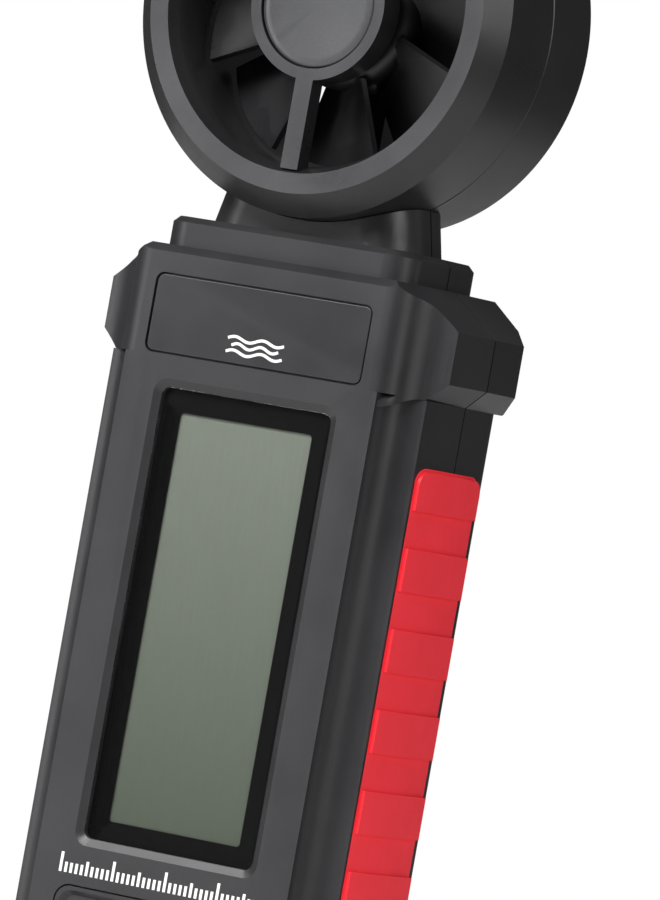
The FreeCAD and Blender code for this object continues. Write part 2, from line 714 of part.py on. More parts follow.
def rear_shell():
    """Rear moulding: back face, battery bay, screw bosses and tripod boss."""
    shell = case_form(0.0).common(block(-60, 60, SEAM_DEPTH, BODY_DEPTH + 1, -1, FAN_Z))
    shell = shell.cut(case_cavity()).cut(neck_passage()).cut(seam_line())
    back = BODY_DEPTH - BACK_WALL + 0.5
    extras = [rod(0, TRIPOD_Z, TRIPOD_BOSS_R, BODY_DEPTH - TRIPOD_LENGTH - BACK_WALL, back)]
    for x, z in screw_positions():
        extras.append(rod(x, z, CASE_BOSS_R, SEAM_DEPTH, back))
    outer = BAY_HALF + BAY_WALL
    extras.append(block(-outer, outer, BAY_FLOOR - BAY_WALL, back, BAY_BOTTOM, BAY_TOP))
    shelf_half = BACK_HALF - SIDE_WALL
    shelf_top = DOOR_TOP + DOOR_GAP + BAY_WALL
    extras.append(block(-shelf_half, shelf_half, BAY_BACK - BAY_WALL, back, SIDE_WALL - 0.5, shelf_top))
    shell = fused([shell] + extras)
    shell = shell.cut(block(-BAY_HALF, BAY_HALF, BAY_FLOOR, BODY_DEPTH + 1,
                            BAY_BOTTOM + BAY_WALL, BAY_TOP - BAY_WALL))
    shell = shell.cut(door_recess())
    shell = shell.cut(rod(0, TRIPOD_Z, TRIPOD_INSERT_R, BODY_DEPTH - TRIPOD_LENGTH, BODY_DEPTH + 1))
    head_floor = BODY_DEPTH - CASE_SCREW_RECESS
    for x, z in screw_positions():
        shell = shell.cut(rod(x, z, CASE_SCREW_R + SCREW_CLEARANCE, SEAM_DEPTH - 1, head_floor))
        shell = shell.cut(rod(x, z, CASE_SCREW_HEAD_R + SCREW_CLEARANCE,
                              head_floor - CASE_SCREW_HEAD, BODY_DEPTH + 1))
    return shell.cut(right_grip()).cut(left_grip())


def door_recess():
    """The space the battery door slides in, open at the bottom end."""
    mouth_half = DOOR_HALF + DOOR_GAP
    mouth = block(-mouth_half, mouth_half, BAY_BACK, BODY_DEPTH + 1, -1, DOOR_TOP + DOOR_GAP)
    slot_half = DOOR_HALF + DOOR_TONGUE + DOOR_GAP
    slot_back = BODY_DEPTH - BACK_WALL + DOOR_TONGUE_THICKNESS + DOOR_GAP
    slot = block(-slot_half, slot_half, BAY_BACK, slot_back, -1, DOOR_TOP + DOOR_GAP)
    return mouth.fuse(slot)


def battery_door():
    """Sliding cover over the cells, with side tongues and a ribbed thumb pad."""
    floor = BODY_DEPTH - BACK_WALL
    cover = block(-DOOR_HALF, DOOR_HALF, floor, BODY_DEPTH, DOOR_LIFT, DOOR_TOP)
    reach = DOOR_HALF + DOOR_TONGUE
    tongues = block(-reach, reach, floor, floor + DOOR_TONGUE_THICKNESS, DOOR_LIFT, DOOR_TOP)
    door = cover.fuse(tongues)
    pad_floor = BODY_DEPTH - DOOR_GRIP_DEPTH
    pad = plate(DOOR_GRIP_HALF, DOOR_GRIP_BOTTOM, DOOR_GRIP_TOP, 2.0, pad_floor, BODY_DEPTH + 1)
    door = door.cut(pad)
    pitch = (DOOR_GRIP_TOP - DOOR_GRIP_BOTTOM) / (DOOR_RIB_COUNT + 1)
    half = DOOR_GRIP_HALF - 1.0
    for i in range(DOOR_RIB_COUNT):
        z = DOOR_GRIP_BOTTOM + (i + 1) * pitch
        rib = block(-half, half, pad_floor - 0.1, BODY_DEPTH, z - DOOR_RIB / 2, z + DOOR_RIB / 2)
        door = door.fuse(rib)
    end = face_of([vec(-reach - 1, BODY_DEPTH - END_CHAMFER, -1), vec(-reach - 1, BODY_DEPTH + 1, -1),
                   vec(-reach - 1, BODY_DEPTH + 1, END_CHAMFER + 1),
                   vec(-reach - 1, BODY_DEPTH, END_CHAMFER),
                   vec(-reach - 1, BODY_DEPTH - END_CHAMFER, 0)])
    return door.cut(end.extrude(FreeCAD.Vector(2 * reach + 2, 0, 0))).removeSplitter()


def nameplate():
    """Blank plate set into the shoulder."""
    g = PLATE_GAP
    front = PLATE_SEAT - PLATE_THICKNESS
    return plate(PLATE_HALF - g, PLATE_BOTTOM + g, PLATE_TOP - g, PLATE_CORNER_R - g, front, PLATE_SEAT)


def display_window():
    """Clear lens over the display."""
    return plate(LENS_HALF, LENS_BOTTOM, LENS_TOP, LENS_CORNER_R, LENS_DEPTH, LENS_BACK)


def display_mask():
    """Black printed film behind the lens, open over the display."""
    film = plate(LENS_HALF, LENS_BOTTOM, LENS_TOP, LENS_CORNER_R, LENS_BACK, LENS_SEAT)
    return film.cut(plate(LCD_VIEW_HALF, LCD_VIEW_BOTTOM, LCD_VIEW_TOP, 0.6, LENS_BACK - 1, LENS_SEAT + 1))


# ---------------------------------------------------------------- grips
def grip_section(rise, nose_rise, front, back, z0, height):
    """A slice of the right-hand grip with two facets meeting at a crest."""
    seat = RIDGE_HALF - GRIP_SEAT
    slope = SIDE_BULGE / (SEAM_DEPTH - COVE_R)
    crest = RIDGE_HALF + slope * (GRIP_CREST - COVE_R) + GRIP_CREST_RISE + rise
    nose = RIDGE_HALF + GRIP_EDGE_RISE + nose_rise
    tail = BACK_HALF + GRIP_EDGE_RISE + rise
    face = face_of([vec(seat, front + 0.8, z0), vec(nose, front, z0), vec(crest, GRIP_CREST, z0),
                    vec(tail, back, z0), vec(seat, back, z0)])
    return face.extrude(FreeCAD.Vector(0, 0, height))


def grip_blank():
    """The rounded side view that trims the grip."""
    low = GRIP_TOP - (BLOCK_COUNT - 1) * BLOCK_PITCH - BLOCK_HEIGHT
    plan = rounded_side(GRIP_FRONT, GRIP_BACK, low, GRIP_TOP, GRIP_CORNER_R)
    return low, plan


def rounded_side(d0, d1, z0, z1, radius):
    """A rounded rectangle seen from the side, extruded across the right half."""
    k = radius * (1.0 - math.sqrt(0.5))
    x = RIDGE_HALF - 2 * GRIP_SEAT
    edges = [
        Part.makeLine(vec(x, d0 + radius, z0), vec(x, d1 - radius, z0)),
        Part.Arc(vec(x, d1 - radius, z0), vec(x, d1 - k, z0 + k), vec(x, d1, z0 + radius)).toShape(),
        Part.makeLine(vec(x, d1, z0 + radius), vec(x, d1, z1 - radius)),
        Part.Arc(vec(x, d1, z1 - radius), vec(x, d1 - k, z1 - k), vec(x, d1 - radius, z1)).toShape(),
        Part.makeLine(vec(x, d1 - radius, z1), vec(x, d0 + radius, z1)),
        Part.Arc(vec(x, d0 + radius, z1), vec(x, d0 + k, z1 - k), vec(x, d0, z1 - radius)).toShape(),
        Part.makeLine(vec(x, d0, z1 - radius), vec(x, d0, z0 + radius)),
        Part.Arc(vec(x, d0, z0 + radius), vec(x, d0 + k, z0 + k), vec(x, d0 + radius, z0)).toShape(),
    ]
    return Part.Face(Part.Wire(edges)).extrude(FreeCAD.Vector(4 * GRIP_SEAT + 4.0, 0, 0))


def grip_form(nose_rise):
    """A right-hand soft grip: a base sheet with raised blocks."""
    low, blank = grip_blank()
    sheet = grip_section(0.0, 0.0, GRIP_FRONT, GRIP_BACK, low, GRIP_TOP - low).common(blank)
    inner = rounded_side(GRIP_FRONT + BLOCK_INSET, GRIP_BACK, low + BLOCK_INSET,
                         GRIP_TOP - BLOCK_INSET, GRIP_CORNER_R - BLOCK_INSET)
    blocks = []
    for i in range(BLOCK_COUNT):
        z0 = GRIP_TOP - i * BLOCK_PITCH - BLOCK_HEIGHT
        raised = grip_section(BLOCK_RISE, nose_rise, GRIP_FRONT, GRIP_BACK, z0, BLOCK_HEIGHT)
        blocks.append(raised.common(inner))
    return fused([sheet] + blocks)


def right_grip():
    """The grip on the user's right."""
    return grip_form(RIGHT_NOSE_RISE)


def left_grip():
    """The grip on the user's left."""
    return mirrored(grip_form(0.0))


# ---------------------------------------------------------------- keypad
def key_centres():
    """Key names with their centres."""
    centres = []
    for row, names in enumerate(KEY_NAMES):
        for column, name in enumerate(names):
            x = (column - 0.5) * KEY_PITCH_X
            centres.append((name, x, KEY_TOP_Z - row * KEY_PITCH_Z))
    return centres


def key_panel():
    """Keypad frame: a flat rim round a lower floor with six key openings."""
    g = PANEL_GAP
    panel = plate(PANEL_HALF - g, PANEL_BOTTOM + g, PANEL_TOP - g, PANEL_CORNER_R - g, 0, PANEL_SEAT)
    inner = PANEL_RIM
    web = plate(PANEL_HALF - inner, PANEL_BOTTOM + inner, PANEL_TOP - inner, PANEL_CORNER_R - inner / 2,
                PANEL_SEAT - 0.1, FRONT_WALL)
    panel = panel.fuse(web)
    outer = rounded_outline(PANEL_HALF - g - 0.4, PANEL_BOTTOM + g + 0.4, PANEL_TOP - g - 0.4,
                            PANEL_CORNER_R - g, -0.2)
    floor = rounded_outline(PANEL_HALF - inner, PANEL_BOTTOM + inner, PANEL_TOP - inner,
                            PANEL_CORNER_R - inner / 2, PANEL_FLOOR)
    panel = panel.cut(Part.makeLoft([outer, floor], True, True))
    for _, x, z in key_centres():
        half_x = KEY_WIDTH / 2 + KEY_GAP
        half_z = KEY_HEIGHT / 2 + KEY_GAP
        panel = panel.cut(rounded_plate(x - half_x, x + half_x, z - half_z, z + half_z,
                                        KEY_CORNER_R + KEY_GAP, -1, FRONT_WALL + 1))
    return panel


def key_cap(x, z):
    """A key: bevelled cap, retaining flange behind the panel and a round stem."""
    half_x = KEY_WIDTH / 2
    half_z = KEY_HEIGHT / 2
    e = KEY_EDGE
    flange_front = FRONT_WALL + KEY_GAP
    cap = rounded_plate(x - half_x, x + half_x, z - half_z, z + half_z, KEY_CORNER_R,
                        e - KEY_PROUD, flange_front)
    foot = rounded_rectangle(x - half_x, x + half_x, z - half_z, z + half_z, KEY_CORNER_R, e - KEY_PROUD)
    top = rounded_rectangle(x - half_x + e, x + half_x - e, z - half_z + e, z + half_z - e,
                            KEY_CORNER_R - e, -KEY_PROUD)
    dome = Part.makeLoft([foot, top], True, True)
    f = KEY_FLANGE
    flange = rounded_plate(x - half_x - f, x + half_x + f, z - half_z - f, z + half_z + f, KEY_CORNER_R,
                           flange_front, flange_front + KEY_FLANGE_THICKNESS)
    switch_face = BOARD_DEPTH - SWITCH_HEIGHT
    stem = rod(x, z, KEY_STEM_R, flange_front, switch_face + KEY_STEM_REACH)
    return fused([cap, dome, flange, stem])


def tactile_switches():
    """Six push switches on the board, one under each key."""
    solids = []
    h = SWITCH_SIZE / 2
    face = BOARD_DEPTH - SWITCH_HEIGHT
    for _, x, z in key_centres():
        body = block(x - h, x + h, face, BOARD_DEPTH, z - h, z + h)
        well = rod(x, z, KEY_STEM_R + KEY_GAP, face - 1, face + KEY_STEM_REACH + KEY_TRAVEL + KEY_GAP)
        solids.append(body.cut(well))
    return compound(solids)


# ---------------------------------------------------------------- display stack and boards
def lcd_panel():
    """Liquid crystal cell in the front wall's opening."""
    return block(-LCD_HALF, LCD_HALF, LENS_SEAT + LCD_FIT, LCD_BACK, LCD_BOTTOM, LCD_TOP)


def lcd_holder():
    """Frame that clamps the cell and light guide against the front wall."""
    m = HOLDER_MARGIN
    frame = block(-LCD_HALF - m, LCD_HALF + m, LCD_BACK, BOARD_DEPTH,
                  LCD_BOTTOM - LCD_FIT - m, LCD_TOP + m)
    frame = frame.cut(light_room(LCD_FIT / 2))
    z0, z1 = zebra_levels()
    half = LCD_VIEW_HALF + LCD_FIT / 2
    gap = LCD_FIT / 2
    return frame.cut(block(-half, half, LCD_BACK - 1, BOARD_DEPTH + 1, z0 - gap, z1 + gap))


def zebra_levels():
    """Lower and upper edge of the contact strip."""
    return LCD_BOTTOM + 0.3, LCD_BOTTOM + 0.3 + ZEBRA_WIDTH


def light_room(extra):
    """The light guide's block, grown by a fit."""
    half = LCD_VIEW_HALF + extra
    low = zebra_levels()[1] + 1.2 - extra
    return block(-half, half, LCD_BACK, LCD_BACK + LIGHT_THICKNESS + extra, low, LCD_VIEW_TOP + extra)


def lcd_backlight():
    """Light guide behind the cell."""
    return light_room(0.0)


def zebra_strip():
    """Rubber contact strip between the cell and the board."""
    z0, z1 = zebra_levels()
    return block(-LCD_VIEW_HALF, LCD_VIEW_HALF, LCD_BACK, BOARD_DEPTH, z0, z1)


def main_board():
    """Main circuit board with four screw holes."""
    board = block(-BOARD_HALF, BOARD_HALF, BOARD_DEPTH, BOARD_BACK, BOARD_BOTTOM, BOARD_TOP)
    for x, z in post_positions():
        hole = rod(x, z, BOARD_SCREW_R + SCREW_CLEARANCE, BOARD_DEPTH - 1, BOARD_BACK + 1)
        board = board.cut(hole)
    return board


def controller_chip():
    """Square controller package on the back of the board, with its legs as a thin skirt."""
    h = CHIP_SIZE / 2
    body = block(-h, h, BOARD_BACK + 0.2, BOARD_BACK + CHIP_HEIGHT, CHIP_Z - h, CHIP_Z + h)
    s = h + 1.0
    skirt = block(-s, s, BOARD_BACK, BOARD_BACK + 0.3, CHIP_Z - s, CHIP_Z + s)
    return body.fuse(skirt).removeSplitter()


def buzzer():
    """Round sounder on the back of the board."""
    can = rod(BUZZER_X, BUZZER_Z, BUZZER_R, BOARD_BACK, BOARD_BACK + BUZZER_HEIGHT)
    return can.cut(rod(BUZZER_X, BUZZER_Z, 1.0, BOARD_BACK + BUZZER_HEIGHT - 0.8, BODY_DEPTH))


def cable_socket():
    """Socket that the pickup cable enters from above."""
    half = SOCKET_WIDTH / 2
    body = block(-half, half, BOARD_BACK, BOARD_BACK + SOCKET_HEIGHT, SOCKET_Z, SOCKET_Z + SOCKET_LENGTH)
    entry = Part.makeCylinder(CABLE_R, 2.5, vec(0, socket_depth(), SOCKET_Z + SOCKET_LENGTH - 1.5))
    return body.cut(entry)


def socket_depth():
    """Depth of the socket's mouth."""
    return BOARD_BACK + SOCKET_HEIGHT / 2


def cable_points():
    """The pickup cable's route as (depth, height): strut, ring hollow, stem, then the socket."""
    strut = STRUT_FRONT + 2.2
    stem = (SEAM_DEPTH + STEM_BACK) / 2 + 0.2
    return [
        (strut, FAN_Z - REAR_HUB_R + 2.5),
        (strut, FAN_Z - REAR_HUB_R - 7.5),
        (strut, FAN_Z - DUCT_R - 0.5),
        (stem, FAN_Z - RING_R + 1.2),
        (stem, FAN_Z - RING_R - 12.0),
        (stem, SHOULDER_TOP - 8.5),
        (socket_depth(), SOCKET_Z + SOCKET_LENGTH + 6.0),
        (socket_depth(), SOCKET_Z + SOCKET_LENGTH - 1.5),
    ]


def cable_path():
    """Straight runs joined by tangent arcs through the cable's points."""
    points = [vec(0, d, z) for d, z in cable_points()]
    edges = []
    start = points[0]
    for i in range(1, len(points) - 1):
        before = (points[i] - points[i - 1]).normalize()
        after = (points[i + 1] - points[i]).normalize()
        turn = before.getAngle(after)
        if turn < 1e-4:
            continue
        run = min((points[i] - points[i - 1]).Length, (points[i + 1] - points[i]).Length)
        reach = 0.45 * run
        enter = points[i] - before * reach
        leave = points[i] + after * reach
        bisector = (after - before).normalize()
        radius = reach / math.tan(turn / 2)
        sagitta = radius * (1 / math.cos(turn / 2) - 1)
        edges.append(Part.makeLine(start, enter))
        edges.append(Part.Arc(enter, points[i] + bisector * sagitta, leave).toShape())
        start = leave
    edges.append(Part.makeLine(start, points[-1]))
    return Part.Wire(edges)


def tube_along(path, radius):
    """A round tube along a path that starts straight down."""
    start = path.Vertexes[0].Point
    ring = Part.Wire(Part.makeCircle(radius, start, FreeCAD.Vector(0, 0, -1)))
    return path.makePipeShell([ring], True, True)


def sensor_cable():
    """Cable from the pickup board through the strut and stem to the main board."""
    return tube_along(cable_path(), CABLE_R)


def case_screws():
    """Six screws that close the shells from the back."""
    head_top = BODY_DEPTH - CASE_SCREW_RECESS
    return compound([screw(x, z, CASE_SCREW_R, CASE_SCREW_HEAD_R, CASE_SCREW_HEAD, head_top,
                           CASE_SCREW_TIP) for x, z in screw_positions()])


def board_screws():
    """Four screws that hold the board to its posts."""
    head_top = BOARD_BACK + BOARD_SCREW_HEAD
    return compound([screw(x, z, BOARD_SCREW_R, BOARD_SCREW_HEAD_R, BOARD_SCREW_HEAD, head_top,
                           BOARD_DEPTH - BOARD_SCREW_BITE) for x, z in post_positions()])


def ring_screws():
    """Three screws that close the fan ring from the back."""
    head_top = BODY_DEPTH - (RING_SCREW_RECESS - RING_SCREW_HEAD)
    solids = []
    for angle in RING_SCREW_ANGLES:
        x, z = on_circle(RING_SCREW_PCR, angle)
        solids.append(screw(x, z, RING_SCREW_R, RING_SCREW_HEAD_R, RING_SCREW_HEAD, head_top,
                            RING_SCREW_TIP))
    return compound(solids)


def screw(x, z, radius, head_r, head, head_top, tip):
    """A cross-recessed screw whose head faces the back."""
    body = rod(x, z, radius, tip, head_top - head / 2)
    cap = rod(x, z, head_r, head_top - head, head_top)
    slot = 0.28 * head_r
    reach = 0.62 * head_r
    depth = 0.55 * head
    cross = block(x - reach, x + reach, head_top - depth, head_top + 1, z - slot / 2, z + slot / 2)
    cross = cross.fuse(block(x - slot / 2, x + slot / 2, head_top - depth, head_top + 1, z - reach, z + reach))
    return body.fuse(cap).cut(cross).removeSplitter()


def tripod_insert():
    """Brass threaded insert in the back."""
    sleeve = rod(0, TRIPOD_Z, TRIPOD_INSERT_R, BODY_DEPTH - TRIPOD_LENGTH, BODY_DEPTH - 0.1)
    return sleeve.cut(rod(0, TRIPOD_Z, TRIPOD_THREAD_R, BODY_DEPTH - TRIPOD_LENGTH - 1, BODY_DEPTH + 1))


# ---------------------------------------------------------------- cells and contacts
def cell_ends(index):
    """Offset, lower end, direction of the nub (1 up, -1 down) for one cell."""
    x = (index - (CELL_COUNT - 1) / 2.0) * CELL_PITCH
    up = 1 if index % 2 == 0 else -1
    low = CELL_BOTTOM + (SPRING_LENGTH if up > 0 else 0.0)
    return x, low, up


def upright_rod(x, radius, z0, z1):
    """A round bar along Z at the cells' depth."""
    return Part.makeCylinder(radius, z1 - z0, vec(x, CELL_DEPTH, z0))


def cell(index):
    """One AAA cell with its nub."""
    x, low, up = cell_ends(index)
    top = low + CELL_LENGTH
    if up > 0:
        return upright_rod(x, CELL_R, low, top - CELL_NUB).fuse(upright_rod(x, CELL_NUB_R, low, top))
    return upright_rod(x, CELL_R, low + CELL_NUB, top).fuse(upright_rod(x, CELL_NUB_R, low, top))


def contact_plate(x, z0):
    """A flat sheet-metal contact against a bay end wall."""
    h = CONTACT_HALF
    return block(x - h, x + h, CELL_DEPTH - h, CELL_DEPTH + h, z0, z0 + CONTACT_THICKNESS)


def contact_plates():
    """Flat contacts that the nubs press on."""
    top = CELL_BOTTOM + CELL_ROOM - CONTACT_THICKNESS
    solids = []
    for i in range(CELL_COUNT):
        x, _, up = cell_ends(i)
        solids.append(contact_plate(x, top if up > 0 else CELL_BOTTOM - CONTACT_THICKNESS))
    return compound(solids)


def coil_springs():
    """Conical coil contacts that press on the flat ends of the cells."""
    top = CELL_BOTTOM + CELL_ROOM - CONTACT_THICKNESS
    solids = []
    for i in range(CELL_COUNT):
        x, _, up = cell_ends(i)
        base = CELL_BOTTOM if up > 0 else top
        solids.append(coil(x, base, up))
        solids.append(contact_plate(x, base - CONTACT_THICKNESS if up > 0 else base))
    return compound(solids)


def coil(x, base, up):
    """One conical spring standing on its plate."""
    gap = 0.05
    height = SPRING_LENGTH - 2 * SPRING_WIRE_R - 2 * gap
    steps = int(SPRING_TURNS * SPRING_STEPS)
    points = []
    for i in range(steps + 1):
        done = i / steps
        turn = 2 * math.pi * SPRING_TURNS * done
        r = SPRING_R + (SPRING_TIP_R - SPRING_R) * done
        points.append(FreeCAD.Vector(r * math.cos(turn), r * math.sin(turn), height * done))
    heading = (points[1] - points[0]).normalize()
    side = FreeCAD.Vector(0, 0, 1).cross(heading).normalize()
    rise = heading.cross(side)
    corners = []
    for i in range(WIRE_SIDES):
        turn = 2 * math.pi * (i + 0.5) / WIRE_SIDES
        corners.append(points[0] + (side * math.cos(turn) + rise * math.sin(turn)) * SPRING_WIRE_R)
    section = Part.makePolygon(corners + [corners[0]])
    spring = Part.makePolygon(points).makePipeShell([section], True, False, 1)
    if up < 0:
        spring = spring.rotated(FreeCAD.Vector(0, 0, 0), FreeCAD.Vector(1, 0, 0), 180)
    return spring.translated(vec(x, CELL_DEPTH, base + up * (SPRING_WIRE_R + gap)))


# ---------------------------------------------------------------- fan head
def fan_ring_front():
    """Front ring: flat lip, tapered rim, throat, three spokes, hub and the stem's front half."""
    skin = RING_SKIN
    taper = RING_R - LIP_OUTER_R
    seam = SEAM_DEPTH
    rim = spun([
        (LIP_INNER_R, 0), (LIP_OUTER_R, 0), (RING_R, taper), (RING_R, seam), (RING_R - skin, seam),
        (RING_R - skin, taper + 1.3), (LIP_OUTER_R - 0.5, LIP_THICKNESS),
        (LIP_INNER_R + 0.7, LIP_THICKNESS), (DUCT_R + skin, THROAT_DEPTH + 0.8), (DUCT_R + skin, seam),
        (DUCT_R, seam), (DUCT_R, THROAT_DEPTH),
    ])
    pieces = [rim, rod(0, FAN_Z, FRONT_HUB_R, SPOKE_FACE, FRONT_HUB_BACK)]
    for angle in SPOKE_ANGLES:
        pieces.append(turned(front_spoke(), angle))
    pieces += ring_bosses(LIP_THICKNESS - 0.5, seam)
    pieces.append(stem(STEM_FRONT, seam))
    ring = fused(pieces)
    ring = ring.cut(rod(0, FAN_Z, CAP_SEAT_R, 0, SPOKE_FACE + CAP_SEAT_DEPTH))
    ring = ring.cut(rod(0, FAN_Z, BEARING_R, FRONT_BEARING_DEPTH, FRONT_HUB_BACK + 1))
    return cut_ring_holes(ring, RING_SCREW_R, RING_SCREW_TIP, seam + 1)


def front_spoke():
    """A spoke along +X from the hub to the throat."""
    h = SPOKE_WIDTH / 2
    reach = DUCT_R + 0.8
    bar = block(FRONT_HUB_R - 1.0, reach, SPOKE_FACE, SPOKE_FACE + SPOKE_THICKNESS, FAN_Z - h, FAN_Z + h)
    return bar.common(spun([(0, 0), (LIP_INNER_R - 0.35, 0), (DUCT_R + 0.6, THROAT_DEPTH),
                            (DUCT_R + 0.6, SEAM_DEPTH), (0, SEAM_DEPTH)]))


def ring_bosses(d0, d1):
    """Screw bosses between the ring's two skins."""
    radius = (RING_R - DUCT_R) / 2 - RING_SKIN + 0.4
    bosses = []
    for angle in RING_SCREW_ANGLES:
        x, z = on_circle(RING_SCREW_PCR, angle)
        bosses.append(rod(x, z, radius, d0, d1))
    return bosses


def cut_ring_holes(ring, radius, d0, d1):
    """Drill the ring's screw holes between two depths."""
    for angle in RING_SCREW_ANGLES:
        x, z = on_circle(RING_SCREW_PCR, angle)
        ring = ring.cut(rod(x, z, radius, d0, d1))
    return ring


def stem(d0, d1):
    """The slab under the ring that the neck holds, with a wider foot."""
    top = FAN_Z - DUCT_R - RING_SKIN
    slab = block(-STEM_HALF, STEM_HALF, d0, d1, STEM_BOTTOM, top)
    foot = block(-STEM_FOOT_HALF, STEM_FOOT_HALF, d0, d1, STEM_BOTTOM, STEM_BOTTOM + STEM_FOOT_HEIGHT)
    return slab.fuse(foot).cut(rod(0, FAN_Z, DUCT_R, d0 - 1, d1 + 1))


def fan_ring_rear():
    """Rear ring: back half of the duct, three struts, bearing hub and the stem's back half."""
    skin = RING_SKIN
    seam = SEAM_DEPTH
    groove = SEAM_GROOVE
    back = BODY_DEPTH
    floor = back - BACK_LIP_THICKNESS
    rim = spun([
        (RING_R - groove, seam), (RING_R, seam + groove), (RING_BACK_R, back - 0.5),
        (RING_BACK_R - 0.5, back), (DUCT_R + 0.8, back), (DUCT_R, back - 0.8), (DUCT_R, seam),
        (DUCT_R + skin, seam), (DUCT_R + skin, floor), (RING_R - skin, floor), (RING_R - skin, seam),
    ])
    pieces = [rim, rod(0, FAN_Z, REAR_HUB_R, REAR_HUB_FRONT, STRUT_BACK)]
    h = STRUT_WIDTH / 2
    for angle in SPOKE_ANGLES:
        bar = block(REAR_HUB_R - 1.0, DUCT_R + 0.8, STRUT_FRONT, STRUT_BACK, FAN_Z - h, FAN_Z + h)
        pieces.append(turned(bar, angle))
    pieces += ring_bosses(seam, floor + 0.5)
    pieces.append(stem(seam, STEM_BACK))
    ring = fused(pieces)
    pocket = REAR_BEARING_DEPTH
    ring = ring.cut(rod(0, FAN_Z, PICKUP_R + 0.1, REAR_HUB_FRONT - 1, pocket))
    ring = ring.cut(rod(0, FAN_Z, BEARING_R, pocket - 0.1, pocket + BEARING_LENGTH))
    ring = ring.cut(rod(0, FAN_Z, SHAFT_R + 0.4, pocket, SHAFT_BACK + 0.6))
    ring = ring.cut(tube_along(cable_path(), CABLE_R + CABLE_ROOM))
    ring = cut_ring_holes(ring, RING_SCREW_R + SCREW_CLEARANCE / 2, seam - 1, back)
    return cut_ring_holes(ring, RING_SCREW_HEAD_R + SCREW_CLEARANCE, back - RING_SCREW_RECESS, back + 1)


def hub_cap():
    """Domed cap pressed into the front hub."""
    r = CAP_SEAT_R - CAP_GAP
    seat = SPOKE_FACE + CAP_SEAT_DEPTH
    face = seat - CAP_THICKNESS
    sphere_r = (r * r + CAP_DOME * CAP_DOME) / (2 * CAP_DOME)
    disc = rod(0, FAN_Z, r, face - CAP_DOME + 0.3, seat)
    ball = Part.makeSphere(sphere_r, vec(0, face - CAP_DOME + 0.3 + sphere_r, FAN_Z))
    return disc.common(ball)


def bearing(d0):
    """A plain sleeve bearing."""
    sleeve = rod(0, FAN_Z, BEARING_R, d0, d0 + BEARING_LENGTH)
    return sleeve.cut(rod(0, FAN_Z, SHAFT_R + RUNNING_FIT, d0 - 1, d0 + BEARING_LENGTH + 1))


def front_bearing():
    """Bearing in the front hub."""
    return bearing(FRONT_BEARING_DEPTH)


def rear_bearing():
    """Bearing in the rear hub."""
    return bearing(REAR_BEARING_DEPTH)


def impeller_shaft():
    """Steel shaft that carries the impeller."""
    return rod(0, FAN_Z, SHAFT_R, SHAFT_FRONT, SHAFT_BACK)


def impeller():
    """Eight-bladed impeller: round-edged drum, central boss and twisted blades."""
    e = DRUM_EDGE_R
    w = DRUM_WALL
    k = e * (1 - math.sqrt(0.5))
    outline = [
        Part.makeLine(vec(0, DRUM_FRONT, FAN_Z), vec(DRUM_R - e, DRUM_FRONT, FAN_Z)),
        Part.Arc(vec(DRUM_R - e, DRUM_FRONT, FAN_Z), vec(DRUM_R - k, DRUM_FRONT + k, FAN_Z),
                 vec(DRUM_R, DRUM_FRONT + e, FAN_Z)).toShape(),
        Part.makeLine(vec(DRUM_R, DRUM_FRONT + e, FAN_Z), vec(DRUM_R, DRUM_BACK, FAN_Z)),
        Part.makeLine(vec(DRUM_R, DRUM_BACK, FAN_Z), vec(0, DRUM_BACK, FAN_Z)),
        Part.makeLine(vec(0, DRUM_BACK, FAN_Z), vec(0, DRUM_FRONT, FAN_Z)),
    ]
    axis = FreeCAD.Vector(0, 1, 0)
    solid_drum = Part.Face(Part.Wire(outline)).revolve(vec(0, 0, FAN_Z), axis, 360)
    drum = solid_drum.cut(rod(0, FAN_Z, DRUM_R - w - 0.8, DRUM_FRONT + w, DRUM_BACK + 1))
    pieces = [drum, rod(0, FAN_Z, ROTOR_BOSS_R, DRUM_FRONT, DRUM_BACK)]
    for i in range(BLADE_COUNT):
        pieces.append(turned(blade(), BLADE_PHASE + i * 360.0 / BLADE_COUNT))
    rotor = fused(pieces)
    rotor = rotor.cut(rod(0, FAN_Z, SHAFT_R, DRUM_FRONT - 1, DRUM_BACK + 1))
    return rotor.common(rod(0, FAN_Z, BLADE_TIP_R, 0, BODY_DEPTH))


def blade_section(radius, chord, pitch_degrees):
    """A blade's cross-section at one distance from the axis."""
    pitch = math.radians(pitch_degrees)
    c = chord / 2
    t = BLADE_THICKNESS / 2
    corners = []
    for along, across in ((-c, -t), (c, -t), (c, t), (-c, t)):
        z = along * math.cos(pitch) - across * math.sin(pitch)
        depth = -along * math.sin(pitch) - across * math.cos(pitch)
        corners.append(vec(radius, BLADE_MID_DEPTH + depth, FAN_Z + z))
    return Part.makePolygon(corners + [corners[0]])


def blade():
    """One twisted blade along +X."""
    root = blade_section(DRUM_R - DRUM_WALL - 0.4, BLADE_ROOT_CHORD, BLADE_ROOT_PITCH)
    tip = blade_section(BLADE_TIP_R + 1.0, BLADE_TIP_CHORD, BLADE_TIP_PITCH)
    solid = Part.makeLoft([root, tip], True, True)
    return solid.cut(rod(0, FAN_Z, DRUM_R - DRUM_WALL - 0.8, 0, BODY_DEPTH))


def impeller_magnet():
    """Ring magnet round the impeller's boss."""
    front = DRUM_BACK - MAGNET_THICKNESS
    ring = rod(0, FAN_Z, MAGNET_R, front, DRUM_BACK)
    return ring.cut(rod(0, FAN_Z, ROTOR_BOSS_R, front - 1, DRUM_BACK + 1))


